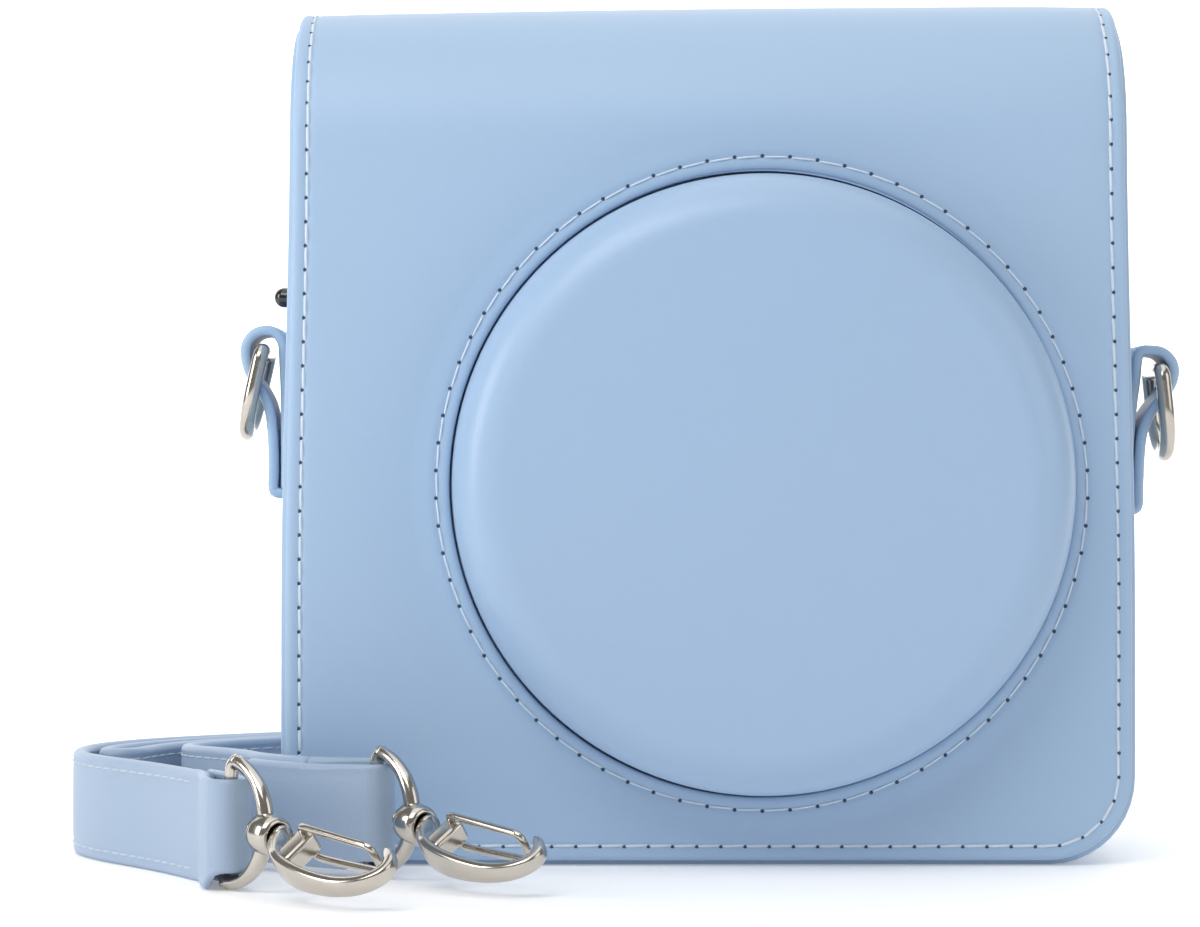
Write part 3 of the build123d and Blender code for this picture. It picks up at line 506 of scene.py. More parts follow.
def cut_cup_hole(wrap):
    """Cuts the cup's round hole through the front with a boolean, and applies it."""
    profile = [(0, -0.02), (CUP_R + 0.2 * MM, -0.02), (CUP_R + 0.2 * MM, 0.02), (0, 0.02)]
    vertices, faces = turned(profile, (CUP_X, FLAP_LOW[1], CUP_Z), (0, 1, 0), (1, 0, 0), 180)
    cutter = add_piece("hole_cutter", vertices, faces, MATERIALS["leather"], "leather", merge=0.01 * MM)
    hole = wrap.modifiers.new("hole", "BOOLEAN")
    hole.operation, hole.object, hole.solver = "DIFFERENCE", cutter, "EXACT"
    mesh = bpy.data.meshes.new_from_object(wrap.evaluated_get(bpy.context.evaluated_depsgraph_get()))
    wrap.modifiers.clear()
    wrap.data = mesh
    bpy.data.objects.remove(cutter)
    mesh.set_sharp_from_angle(angle=math.radians(40))


# ---- stitching ----
def stitch_rows(parts, points, normals, pitch, thread, along):
    """Stitches of one row: each slants a little off the seam; its height is an arch, dipping at its ends."""
    t = np.linspace(0, 1, 8)[:, None]
    reach, height = 0.98 * pitch * (t - 0.5), 1.1 * thread * (0.62 * np.sin(math.pi * t) ** 0.55 - 0.45)
    slanted = unit(along + 0.03 * np.cross(normals, along))
    for point, normal, way in zip(points, normals, slanted):
        parts.add(*tube(point + reach * way + height * normal, thread / 2, 6, normal))


def hole_shade_rows(parts, points, normals, radius, along):
    """A small flattened dome over each needle hole, coloured dark to paint the hole's shade."""
    a = np.linspace(0, 2 * math.pi, 10, endpoint=False)
    across = np.cross(normals, along)
    for p, n, t, c in zip(points, normals, along, across):
        rim = p + radius * (np.cos(a)[:, None] * t + np.sin(a)[:, None] * c) - 0.05 * MM * n
        top = p + 0.7 * radius * (np.cos(a)[:, None] * t + np.sin(a)[:, None] * c) + 0.10 * MM * n
        base = p - 0.12 * MM * n
        vertices = np.vstack([rim, top, [p + 0.10 * MM * n], [base]])
        k = np.arange(10)
        faces = [*np.stack([k, (k + 1) % 10, 10 + (k + 1) % 10, 10 + k], 1).tolist(),
                 *np.stack([10 + k, 10 + (k + 1) % 10, np.full(10, 20)], 1).tolist(),
                 *np.stack([(k + 1) % 10, k, np.full(10, 21)], 1).tolist()]
        parts.add(vertices, faces)


def wrap_seam():
    """The seam's (s, x) round the wrap: one edge distance in from the outline, corners included."""
    w = FLAP_HIGH[0]
    e = SEAM_EDGE
    a = np.linspace(0, math.pi / 2, 24)
    r = CORNER - e
    low_right = np.stack([CORNER - r * np.cos(a), w - CORNER + r * np.sin(a)], 1)
    high_right = np.stack([WRAP[-1] - CORNER + r * np.sin(a), w - CORNER + r * np.cos(a)], 1)
    right = np.vstack([low_right, high_right])
    left = right[::-1] * [1, -1]
    return np.vstack([right, left, right[:1]])


def seam_frames(s, x):
    """Points, normals and directions of a seam on the wrap, from central differences of its surface."""
    step = 0.05 * MM
    p = wrap_point(s, x)
    ds = wrap_point(s + step, x) - wrap_point(s - step, x)
    dx = wrap_point(s, x + step) - wrap_point(s, x - step)
    return p, unit(np.cross(dx, ds)), unit(ds), unit(dx)


def make_wrap_stitches(settings):
    """Threads at every other station of the seam, and dark domes that paint the needle holes' shade between
    them, a little further in.
    """
    seam = wrap_seam()
    length = np.linalg.norm(np.diff(seam, axis=0), axis=1).sum()
    count = int(round(length / settings.stitch_pitch))
    line = even(seam, 2 * count + 1)[:-1]
    p, n, ds, dx = seam_frames(line[:, 0], line[:, 1])
    n = np.where((n * outward(line[:, 0])).sum(-1, keepdims=True) < 0, -n, n)
    step = np.roll(line, -1, 0) - np.roll(line, 1, 0)
    along = unit(step[:, 0:1] * ds + step[:, 1:2] * dx)
    inward = np.cross(along, n)
    threads, hole_shades = Parts(), Parts()
    stitch_rows(threads, p[::2], n[::2], length / count, settings.thread_size, along[::2])
    # Painted shade: dark domes stand in for the shade inside the needle holes.
    hole_shade_rows(hole_shades, (p + inward * 0.22 * MM)[1::2], n[1::2], settings.needle_hole_shade, along[1::2])
    for parts, name, finish in ((threads, "edge_stitching", "thread"),
                                (hole_shades, "edge_needle_hole_shades", "needle_hole_shade")):
        obj = parts.piece(name, MATERIALS[finish], "thread")
        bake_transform(obj)


def outward(s):
    """The outward direction of the wrap's plain profile."""
    _, _, ny, nz = wrap_profile(s)
    return np.stack([np.zeros_like(ny), ny, nz], -1)


# ---- lens cup ----
def cup_profile(settings):
    """Radius and distance ahead of the flap: a drafted wall, a round shoulder and a parabola's low dome."""
    depth = -(CUP_LOW[1] - FLAP_LOW[1])
    r, shoulder = CUP_R - 0.25 * MM, settings.cup_shoulder
    wall = [(r + 0.1 * MM, -3.0 * MM), (r, 0), (r - 0.25 * MM, 3 * MM)]
    a = np.linspace(0, math.pi / 2, 28)
    centre_r, centre_d = r - 0.6 * MM - shoulder, depth - shoulder - 0.5 * MM
    arc = np.stack([centre_r + shoulder * np.cos(a) ** 0.93, centre_d + shoulder * np.sin(a) ** 0.93], 1)
    rings = np.linspace(centre_r, 0, 26)[1:]
    face = np.stack([rings, arc[-1, 1] + 0.5 * MM * (1 - (rings / centre_r) ** 2)], 1)
    return np.vstack([wall, arc, face])


def make_cup(settings):
    """The cup's profile turned about its axis, with a wall one leather thick and a flange behind the flap."""
    outer = cup_profile(settings)
    step = np.gradient(outer, axis=0)
    inward = unit(np.stack([step[:, 1], -step[:, 0]], 1))
    inward[:, 0] = -np.abs(inward[:, 0])
    inward[:, 1] = -np.abs(inward[:, 1])
    inner = (outer + inward * CUP_LEATHER)[::-1]
    inner[:, 0] = np.maximum(inner[:, 0], 0)
    flange = np.array([(outer[0, 0] - CUP_LEATHER, -3.0 * MM), (55.8 * MM, -3.0 * MM),
                       (55.8 * MM, -2.35 * MM), (outer[0, 0], -2.3 * MM)])
    profile = np.vstack([outer[1:], inner[:-1], flange, outer[1:2]])
    vertices, faces = turned(profile, (CUP_X, FLAP_LOW[1], CUP_Z), (0, -1, 0), (1, 0, 0), 144)
    add_piece("moulded_cup", vertices, faces, MATERIALS["cup"], "leather", "flap", ("lens_cup",),
              merge=0.01 * MM)


def rim_point(r, a, height):
    """A point at radius r and angle a round the cup, that far above the panel's own outer face."""
    x, z = CUP_X + r * np.cos(a), CUP_Z + r * np.sin(a)
    return wrap_point(z - FLAP_LOW[2], x, -height)


def make_cup_rim():
    """A padded ring on the panel round the cup: a pressed groove under the stitches, and a fading edge."""
    r = np.array([51.1, 51.1, 51.2, 51.45, 51.8, 52.2, 52.6, 52.9, 53.15, 53.4, 53.8, 54.4, 55.1, 55.9, 56.6,
                  57.4, 57.4])
    h = np.array([-1.2, -0.1, 0.13, 0.26, 0.31, 0.28, 0.20, 0.12, 0.09, 0.13, 0.22, 0.24, 0.18, 0.10, 0.045,
                  0.01, -1.2])
    a = np.linspace(0, 2 * math.pi, 240, endpoint=False)
    grid_r, grid_a = np.meshgrid(r * MM, a, indexing="ij")
    vertices = rim_point(grid_r, grid_a, np.repeat(h[:, None] * MM, len(a), 1)).reshape(-1, 3)
    faces = grid_faces(len(r), len(a), wrap_rows=True, wrap_columns=True)
    add_piece("cup_rim", vertices, faces, MATERIALS["leather"], "leather", "flap", smooth_angle=50)


def make_cup_stitches(settings):
    """The cup's ring of threads, and dark domes that paint the shade of the needle holes outside it."""
    count = int(round(2 * math.pi * CUP_SEAM_R / settings.ring_stitch_pitch))
    a = np.linspace(0, 2 * math.pi, 2 * count, endpoint=False)
    zero = np.zeros_like(a)
    p = rim_point(CUP_SEAM_R, a, 0.10 * MM)
    n = np.tile([0.0, -1.0, 0.0], (len(a), 1))
    along = np.stack([-np.sin(a), zero, np.cos(a)], 1)
    threads, hole_shades = Parts(), Parts()
    stitch_rows(threads, p[::2], n[::2], settings.ring_stitch_pitch, settings.ring_thread_size, along[::2])
    outside = np.cross(along, n)
    # Painted shade: dark domes stand in for the shade inside the needle holes.
    hole_shade_rows(hole_shades, (p + outside * 0.22 * MM)[1::2], n[1::2], settings.needle_hole_shade, along[1::2])
    threads.piece("cup_stitching", MATERIALS["thread"], "thread", "flap")
    hole_shades.piece("cup_needle_hole_shades", MATERIALS["needle_hole_shade"], "thread", "flap")


# ---- gusset ----
def gusset_point(s, f, depth, wall_top, bottom_half):
    """A point of the side strip: s runs down the left wall, along the bottom and up the right one.

    The walls and bottom are straight, with quarter circles between; f runs from the front edge, which
    follows the inside of the flap's bend, to the back one; the walls bulge by a power of a sine of f.
    """
    corner = CORNER
    run = wall_top - corner
    arc = corner * math.pi / 2
    ends = np.cumsum([0, run, arc, 2 * (bottom_half - corner), arc, run])
    a1 = math.pi + (s - ends[1]) / corner
    a2 = 1.5 * math.pi + (s - ends[3]) / corner
    cases = [s < ends[1], s < ends[2], s < ends[3], s < ends[4]]
    x = np.select(cases, [np.full_like(s, -bottom_half), -bottom_half + corner + corner * np.cos(a1),
                          -bottom_half + corner + s - ends[2], bottom_half - corner + corner * np.cos(a2)],
                  np.full_like(s, bottom_half))
    z = np.select(cases, [wall_top - s, corner + corner * np.sin(a1), np.zeros_like(s),
                          corner + corner * np.sin(a2)], corner + s - ends[4])
    nx = np.select(cases, [np.full_like(s, -1), np.cos(a1), np.zeros_like(s), np.cos(a2)], np.ones_like(s))
    nz = np.select(cases, [np.zeros_like(s), np.sin(a1), np.full_like(s, -1), np.sin(a2)], np.zeros_like(s))
    inner_bend = BEND - BOARD - 0.3 * MM
    centre_y, centre_z = FLAP_LOW[1] + BEND, FLAP_HIGH[2] - BEND
    reach = np.sqrt(np.maximum(inner_bend ** 2 - np.maximum(z - centre_z, 0) ** 2, 0))
    front = np.where(z > centre_z, centre_y - reach, GUSSET_LOW[1])
    y = front + (GUSSET_HIGH[1] - front) * f
    span = np.sin(math.pi * np.clip(f, 0, 1))
    bulge = (GUSSET_BULGE * smooth(z, 0.004, 0.02) * (1 - 0.45 * smooth(z, 0.05, 0.125))
             * (1 - smooth(z, 0.132, 0.1395)) * span ** 0.8)
    move = bulge * np.abs(nx) - depth
    x, z = slump(x + nx * move, z + nz * move)
    return np.stack([x, y, z], -1), y - front


def make_gusset():
    """Outer and inner faces of the side strip, one thickness apart, meeting along a round edge."""
    wall_top, half = GUSSET_HIGH[2], GUSSET_HIGH[0]
    length = 2 * (wall_top - CORNER) + math.pi * CORNER + 2 * (half - CORNER)
    s = near_edges(length, FINE[:16], 2.2 * MM)
    f = near_edges(1.0, FINE[:16] / 0.0453, 2.2 * MM / 0.0453)
    grid_s, grid_f = np.meshgrid(s, f, indexing="ij")
    _, from_front = gusset_point(grid_s, grid_f, 0, wall_top, half)
    edge = np.minimum(from_front, np.minimum(grid_s, length - grid_s))
    sink = round_edge(edge, GUSSET_THICK)
    outer, _ = gusset_point(grid_s, grid_f, sink, wall_top, half)
    inner, _ = gusset_point(grid_s, grid_f, GUSSET_THICK - sink, wall_top, half)
    count = outer.shape[0] * outer.shape[1]
    faces = [grid_faces(len(s), len(f)), grid_faces(len(s), len(f), start=count)[:, ::-1]]
    back = np.arange(len(s) - 1) * len(f) + len(f) - 1
    faces.append(np.stack([back, back + len(f), back + len(f) + count, back + count], 1))
    vertices = np.vstack([outer.reshape(-1, 3), inner.reshape(-1, 3)])
    add_piece("side_strip", vertices, np.vstack(faces), MATERIALS["side"], "leather", "case", ("gusset",),
              merge=0.01 * MM, smooth_angle=50)


# ---- strap ----
def strap_line():
    """Points read from the route's own NURBS spline, and that spline's length."""
    curve = bpy.data.curves.new("strap_route", "CURVE")
    curve.dimensions = "3D"
    curve.resolution_u = 12
    spline = curve.splines.new("NURBS")
    spline.points.add(len(ROUTE) - 1)
    for index, (point, (x, y)) in enumerate(zip(spline.points, ROUTE)):
        lift = END_2_LIFT * smooth(index, len(ROUTE) - 9, len(ROUTE) - 2)
        point.co = (x * MM, y * MM, STRAP_MIDDLE + lift, 1)
    spline.order_u = 3
    spline.use_endpoint_u = True
    obj = bpy.data.objects.new("strap_route", curve)
    bpy.context.scene.collection.objects.link(obj)
    bpy.context.view_layer.update()
    mesh = bpy.data.meshes.new_from_object(obj.evaluated_get(bpy.context.evaluated_depsgraph_get()))
    line = np.zeros(len(mesh.vertices) * 3)
    mesh.vertices.foreach_get("co", line)
    bpy.data.objects.remove(obj)
    bpy.data.meshes.remove(mesh)
    line = line.reshape(-1, 3)
    length = np.linalg.norm(np.diff(line, axis=0), axis=1).sum()
    return line, length


STRAP_LOW, STRAP_HIGH = (np.array(corner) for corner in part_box("strap"))
STRAP_MIDDLE = (STRAP_LOW[2] + STRAP_HIGH[2]) / 2
STRAP_HALF = (STRAP_HIGH[2] - STRAP_LOW[2]) / 2
STRAP_THICK = 2.4 * MM
END_2_LIFT = 1.3 * MM


def strap_section():
    """Half thickness against height: plump between the two seams, pinched at them, and round at the edges."""
    h = np.concatenate([np.linspace(-1, -0.86, 6), np.linspace(-0.83, 0.83, 18), np.linspace(0.86, 1, 6)])
    from_edge = (1 - np.abs(h)) * STRAP_HALF
    r = STRAP_THICK / 2
    edge = np.sqrt(np.maximum(r * r - np.clip(r - from_edge, 0, r) ** 2, 0))
    pinch = 0.16 * MM * np.exp(-((from_edge - 1.9 * MM) / (0.5 * MM)) ** 2)
    half = np.minimum(edge, r) - pinch
    right = np.stack([half, h * STRAP_HALF], 1)
    return np.vstack([right, right[::-1] * [-1, 1]])


def make_strap(settings):
    """The strap's section carried along its route, and a row of stitches at each edge of both faces."""
    route, length = strap_line()
    line = even(route, int(length / (1.3 * MM)))
    tangent = unit(np.gradient(line, axis=0))
    up = np.tile([0.0, 0.0, 1.0], (len(line), 1))
    side = np.cross(tangent, up)
    section = np.tile(strap_section()[None], (len(line), 1, 1))
    vertices, faces = carried(line, side, up, section)
    vertices, faces = capped(vertices, faces, len(line), section.shape[1])
    parts = Parts()
    parts.add(vertices, faces)
    strap = parts.piece("shoulder_strap", MATERIALS["strap"], "leather", "strap", ("strap",), merge=0.01 * MM)
    threads = Parts()
    at = even(route, int(length / settings.strap_stitch_pitch))
    along = unit(np.gradient(at, axis=0))
    for face in (-1, 1):
        n = face * np.cross(along, np.tile([0.0, 0.0, 1.0], (len(at), 1)))
        for edge in (-1, 1):
            p = at + n * (STRAP_THICK / 2 - 0.15 * MM)
            p = p + np.array([0, 0, edge * (STRAP_HALF - 1.9 * MM)])
            stitch_rows(threads, p[2:-2], n[2:-2], settings.strap_stitch_pitch, STRAP_THREAD, along[2:-2])
    threads.piece("strap_stitching", MATERIALS["strap_thread"], "thread", "strap")


# ---- strap ends and metalwork ----
def end_frames(k):
    """The ring's and hook's frames at a strap end, from the joints: origin, x, y and z directions."""
    ring, hook, gate = (JOINTS[name] for name in (f"strap_ring_{k}_swing", f"hook_{k}_swivel",
                                                 f"gate_{k}_open"))
    out = unit(np.array(hook["axis"], float))
    bar = unit(np.array(ring["axis"], float))
    across = unit(np.array(gate["axis"], float))
    return ((np.array(ring["pos_m"]), out, bar, np.cross(out, bar)),
            (np.array(hook["pos_m"]), out, across, np.cross(out, across)))


def placed(points, place):
    """Local points in millimetres, in the row frame in metres."""
    origin, x, y, z = place
    points = np.asarray(points, float) * MM
    return origin + points[..., 0:1] * x + points[..., 1:2] * y + points[..., 2:3] * z


def rounded_loop(points, radii, step=0.35):
    """A closed flat loop of straight runs and tangent arcs, evenly sampled; millimetres."""
    points = [np.array(p, float) for p in points]
    line = []
    for i, p in enumerate(points):
        a, b = unit(points[i - 1] - p), unit(points[(i + 1) % len(points)] - p)
        half = math.acos(np.clip(a @ b, -1, 1)) / 2
        r = radii[i]
        back = r / math.tan(half)
        start, end = p + a * back, p + b * back
        centre = p + unit(a + b) * r / math.sin(half)
        t = np.linspace(0, 1, 16)
        turn = math.pi - 2 * half
        w = np.stack([np.sin((1 - t) * turn), np.sin(t * turn)], 1) / math.sin(turn)
        line.append(centre + w[:, :1] * (start - centre) + w[:, 1:] * (end - centre))
    line = np.vstack([*line, line[0][:1]])
    count = int(np.linalg.norm(np.diff(line, axis=0), axis=1).sum() / step)
    return even(line, count + 1)[:-1]


def make_end_ring(k):
    """A wire D, a little thicker towards its collar, and the bored collar, turned from a rounded profile."""
    place, _ = end_frames(k)
    half, reach = END_RING_HALF, END_RING_REACH
    loop = rounded_loop([(0, -half), (reach, -half), (reach, half), (0, half)], [1.5, 9.3, 9.3, 1.5])
    loop = np.column_stack([loop, np.zeros(len(loop))])
    radius = 1.08 + 0.22 * smooth(loop[:, 0], 5, 9.4)
    parts = Parts()
    centre = placed(loop, place)
    tangent = unit(np.roll(centre, -1, 0) - np.roll(centre, 1, 0))
    up = np.tile(place[3], (len(centre), 1))
    side = np.cross(tangent, up)
    section = circle(18)[None] * radius[:, None, None] * MM
    vertices, faces = carried(centre, side, up, section, closed=True)
    parts.add(vertices, faces)
    collar = np.array([(1.55, -2.3), (2.5, -2.35), (2.95, -1.9), (3.2, -1.0), (3.25, 0), (3.15, 1.2),
                       (2.9, 2.0), (2.45, 2.35), (2.1, 2.3), (1.9, 1.2), (1.55, 0.8), (1.55, -2.3)]) * MM
    origin = placed([10.4, 0, 0], place)
    parts.add(*turned(collar, origin, place[1], place[2], 48))
    parts.piece(f"end_ring_{k}", MATERIALS["nickel"], "nickel", f"strap_ring_{k}", (f"strap_ring_{k}",))


# The hook's body: control points along its middle, out from the collar and up.
SPINE = [(2.4, 0.0), (3.4, -0.2), (5.0, -2.6), (8.2, -4.9), (12.5, -5.7), (17.0, -5.75), (21.6, -5.2),
         (25.8, -3.5), (28.1, -0.4), (27.2, 2.5), (24.5, 3.8)]


def make_end_hook(k):
    """Riveted stem, flat tapering body bent to a hook, and the gate's lug."""
    _, place = end_frames(k)
    line = b_spline(SPINE, 60)
    t = np.linspace(0, 1, len(line))
    width = np.interp(t, [0, 0.07, 0.2, 0.35, 0.6, 0.8, 0.93, 1.0],
                      [1.7, 2.2, 2.8, 2.5, 1.75, 1.4, 1.25, 0.85])
    thick = np.interp(t, [0, 0.07, 0.2, 0.6, 0.85, 0.97, 1.0], [1.5, 1.3, 0.95, 0.92, 1.0, 0.85, 0.3])
    tangent = unit(np.gradient(line, axis=0))
    normal = np.stack([-tangent[:, 1], tangent[:, 0]], 1)
    shape = circle(24, power=0.62)
    section = np.stack([shape[None, :, 0] * width[:, None], shape[None, :, 1] * thick[:, None]], -1)
    side = np.tile([0.0, 1.0, 0.0], (len(line), 1))
    vertices, faces = carried(line[:, [0, 0, 1]] * [1, 0, 1], side, normal[:, [0, 0, 1]] * [1, 0, 1], section)
    vertices, faces = capped(vertices, faces, len(line), 24)
    parts = Parts()
    parts.add(placed(vertices, place), faces)
    stem = np.array([(0, -3.9), (1.2, -3.85), (1.85, -3.5), (2.1, -3.1), (2.0, -2.75), (1.4, -2.7),
                     (1.4, 1.5), (1.5, 2.4), (1.9, 2.65), (2.05, 3.2), (1.9, 3.8), (0, 4.1)]) * MM
    origin, x, y, _ = place
    parts.add(*turned(stem, origin, x, y, 32))
    lug = rounded_box((6.8, -1.8, -4.6), (10.4, 1.8, 1.95), 0.85)
    parts.add(placed(lug[0], place), lug[1])
    parts.piece(f"end_hook_{k}", MATERIALS["nickel"], "nickel", f"hook_{k}", (f"snap_hook_{k}",),
                merge=0.005 * MM)


def rounded_box(low, high, radius, n=6):
    """A box whose points are a cube grid pushed onto a sphere of the radius at each corner."""
    low, high = np.array(low, float), np.array(high, float)
    a = np.linspace(-1, 1, 2 * n)
    u, v = np.meshgrid(a, a, indexing="ij")
    vertices, faces = [], []
    for axis in range(3):
        for sign in (-1, 1):
            cube = np.zeros((2 * n, 2 * n, 3))
            cube[..., axis] = sign
            cube[..., (axis + 1) % 3] = u
            cube[..., (axis + 2) % 3] = v
            direction = unit(np.sign(cube) * np.abs(cube) ** 1.6)
            core_low, core_high = low + radius, high - radius
            core = np.where(cube > 0, core_high, core_low)
            vertices.append((core + direction * radius).reshape(-1, 3))
            quads = grid_faces(2 * n, 2 * n, start=len(faces) * 4 * n * n)
            faces.append(quads if sign > 0 else quads[:, ::-1])
    return np.vstack(vertices), np.vstack(faces).tolist()


def make_end_gate(k):
    """The bent wire gate: pins in the lug, two legs and a crossbar under the nose."""
    _, place = end_frames(k)
    x0, z0, x1, z1 = 8.6, 1.0, 24.2, 1.75
    leg = [(x0, 1.2, z0), (x0, 2.8, z0), (x0 + 0.6, 3.2, z0), (x0 + 4, 3.1, z0 + 0.15),
           (x1 - 4, 2.75, z1 - 0.2), (x1 - 0.8, 2.6, z1), (x1, 1.9, z1)]
    line = b_spline([(x, -y, z) for x, y, z in leg] + [(x1, 0, z1)] + leg[::-1], 90)
    parts = Parts()
    parts.add(*tube(placed(line, place), 0.60 * MM, 14, place[3]))
    parts.piece(f"end_gate_{k}", MATERIALS["nickel"], "nickel", f"gate_{k}", (f"wire_gate_{k}",))


def make_end_fold(k, settings):
    """A leather end: a ribbon along the strap's front, round the ring's bar and along its back.

    With S the smooth step from 14 to 1 mm before the bar, the strap's own layer stands 2.9 S mm off its
    centre line and the tail 1.9 + 1.0 S mm; round the bar both are one half circle of 2.9 mm.
    """
    ring, _ = end_frames(k)
    bar, out = ring[0][:2], unit(ring[1][:2])
    route = strap_line()[0][:, :2]
    spine = even(np.vstack([route if k == 2 else route[::-1], bar]), 4200)[::-1]
    ahead = np.linalg.norm(np.diff(spine[:2], axis=0))
    before = np.arange(len(spine)) * ahead / MM
    toward = -unit(spine[12] - spine[0])
    tangent = -unit(np.gradient(spine, axis=0))
    blended = tangent * smooth(before, 0, 6)[:, None] + toward * (1 - smooth(before, 0, 6))[:, None]
    front = unit(np.stack([blended[:, 1], -blended[:, 0]], 1))
    bulge = smooth(14.0 - before, 0, 13.0)
    strap_stand = FOLD_ROUND * bulge * MM
    tail_stand = (TAIL_STAND + (FOLD_ROUND - TAIL_STAND) * bulge) * MM
    strap_run, tail_run = before < 15, before < (24 if k == 2 else 14)
    turn = np.linspace(0, math.pi, 40)[1:-1, None]
    around = bar + FOLD_ROUND * MM * (front[0] * np.cos(turn) + toward * np.sin(turn))
    front_stand, front_run, back_stand, back_run = strap_stand, strap_run, tail_stand, tail_run
    if k == 2:
        front_stand, front_run, back_stand, back_run = tail_stand, tail_run, strap_stand, strap_run
    front_layer = (spine + front_stand[:, None] * front)[front_run]
    back_layer = (spine - back_stand[:, None] * front)[back_run]
    plan = np.vstack([front_layer[::-1], around, back_layer])
    count = 170
    plan = even(plan, count)
    way = unit(np.gradient(plan, axis=0))
    side = np.stack([way[:, 1], -way[:, 0]], 1)
    offset = plan - bar
    behind = smooth((offset @ -front[0]) / MM, -3.0, 3.0)
    behind = np.maximum.accumulate(behind)
    far = np.linalg.norm(offset, axis=1) / MM
    aside = np.abs(offset[:, 0] * out[1] - offset[:, 1] * out[0]) / MM
    past = offset @ out / MM
    waist = smooth(4.2 + 2.0 * behind - aside, 0, 2.9) * smooth(past, -3.0, 0.9)
    main = 1 - behind if k == 1 else behind
    if k == 2:
        low = 1.35 + 1.5 * waist
        high = (14.9 + 1.4 * smooth(9.0 - far, 0, 7.0)) * (1 - behind) + 18.8 * behind
    else:
        low = 0.1 + 2.8 * waist
        high = 17.6 - 0.3 * waist
    h = np.concatenate([np.linspace(-1, -0.88, 5), np.linspace(-0.84, 0.84, 16), np.linspace(0.88, 1, 5)])
    r = 0.66 + 0.50 * (main * smooth(far, 2.5, 10))[:, None]
    half_height, middle = (high - low) / 2, (high + low) / 2
    from_edge = (1 - np.abs(h))[None] * half_height[:, None]
    edge = np.sqrt(np.maximum(r * r - np.clip(r - from_edge, 0, r) ** 2, 0))
    pinch = 0.12 * np.exp(-((from_edge - 1.7) / 0.45) ** 2)
    right = np.stack([edge - pinch, middle[:, None] + h[None] * half_height[:, None]], -1)
    section = np.concatenate([right, right[:, ::-1] * [-1, 1]], 1) * MM
    flat = np.column_stack([plan, np.zeros(count)])
    side = np.column_stack([side, np.zeros(count)])
    up = np.tile([0.0, 0.0, 1.0], (count, 1))
    parts = Parts()
    vertices, faces = carried(flat, side, up, section)
    parts.add(*capped(vertices, faces, count, section.shape[1]))
    parts.piece(f"end_fold_{k}", MATERIALS["strap"], "leather", "strap", (f"strap_end_{k}",), merge=0.01 * MM)
    stitch_fold(k, flat, side, low * MM, high * MM, far, settings)


def stitch_fold(k, flat, side, low, high, far, settings):
    """Two rows of stitches on the outside of a fold's straight runs, and on the inside of its back layer."""
    length = np.linalg.norm(flat[1] - flat[0])
    every = settings.strap_stitch_pitch
    count = int((len(flat) - 1) * length / every)
    at = np.linspace(0, len(flat) - 1, count)
    pick = lambda a: np.stack([np.interp(at, np.arange(len(flat)), column) for column in a.T], 1)
    p, n = pick(flat), unit(pick(side))
    lows, highs, far = (np.interp(at, np.arange(len(flat)), a) for a in (low, high, far))
    along = unit(np.gradient(p, axis=0))
    keep = far > 4.6
    threads = Parts()
    for z in (lows + 1.7 * MM, highs - 1.7 * MM):
        for face in (-1, 1):
            q = p + face * n * 0.50 * MM + np.array([0, 0, 1.0]) * z[:, None]
            stitch_rows(threads, q[keep], face * n[keep], every, 0.36 * MM, along[keep])
    threads.piece(f"end_stitching_{k}", MATERIALS["strap_thread"], "thread", "strap")


# ---- tabs and D-rings ----
def tab_plan(name, bottom, eye):
    """Control points of a tab's leather, out from the wall and up: the wall, the eye, down, and the fold."""
    if name == "left":
        up = [(0.95, bottom + 1.7), (0.95, bottom + 9), (0.95, eye - 9), (1.1, eye - 4.5), (1.3, eye - 1.2)]
        loop = [(1.35, eye + 1.3), (2.5, eye + 3.15), (4.5, eye + 3.6), (6.6, eye + 2.9), (7.85, eye + 0.9),
                (7.75, eye - 1.5), (6.8, eye - 4.2), (5.1, eye - 6.6), (3.9, eye - 9.0), (3.35, eye - 12)]
        foot = [(3.1, bottom + 9), (3.0, bottom + 4.5)]
    else:
        up = [(1.5, bottom + 1.7), (1.45, bottom + 8), (1.6, eye - 12), (2.1, eye - 6), (2.75, eye - 1.5)]
        loop = [(3.0, eye + 2.0), (3.5, eye + 3.4), (5.2, eye + 3.4), (7.4, eye + 3.2), (9.2, eye + 1.3),
                (9.3, eye - 1.2), (7.9, eye - 4.0), (5.4, eye - 6.8), (4.0, eye - 9.8), (3.5, eye - 13)]
        foot = [(3.3, bottom + 7), (3.2, bottom + 4.0)]
    return up + loop + foot + [(3.2, bottom + 1.3), (2.5, bottom + 0.75), (1.3, bottom + 0.8)]


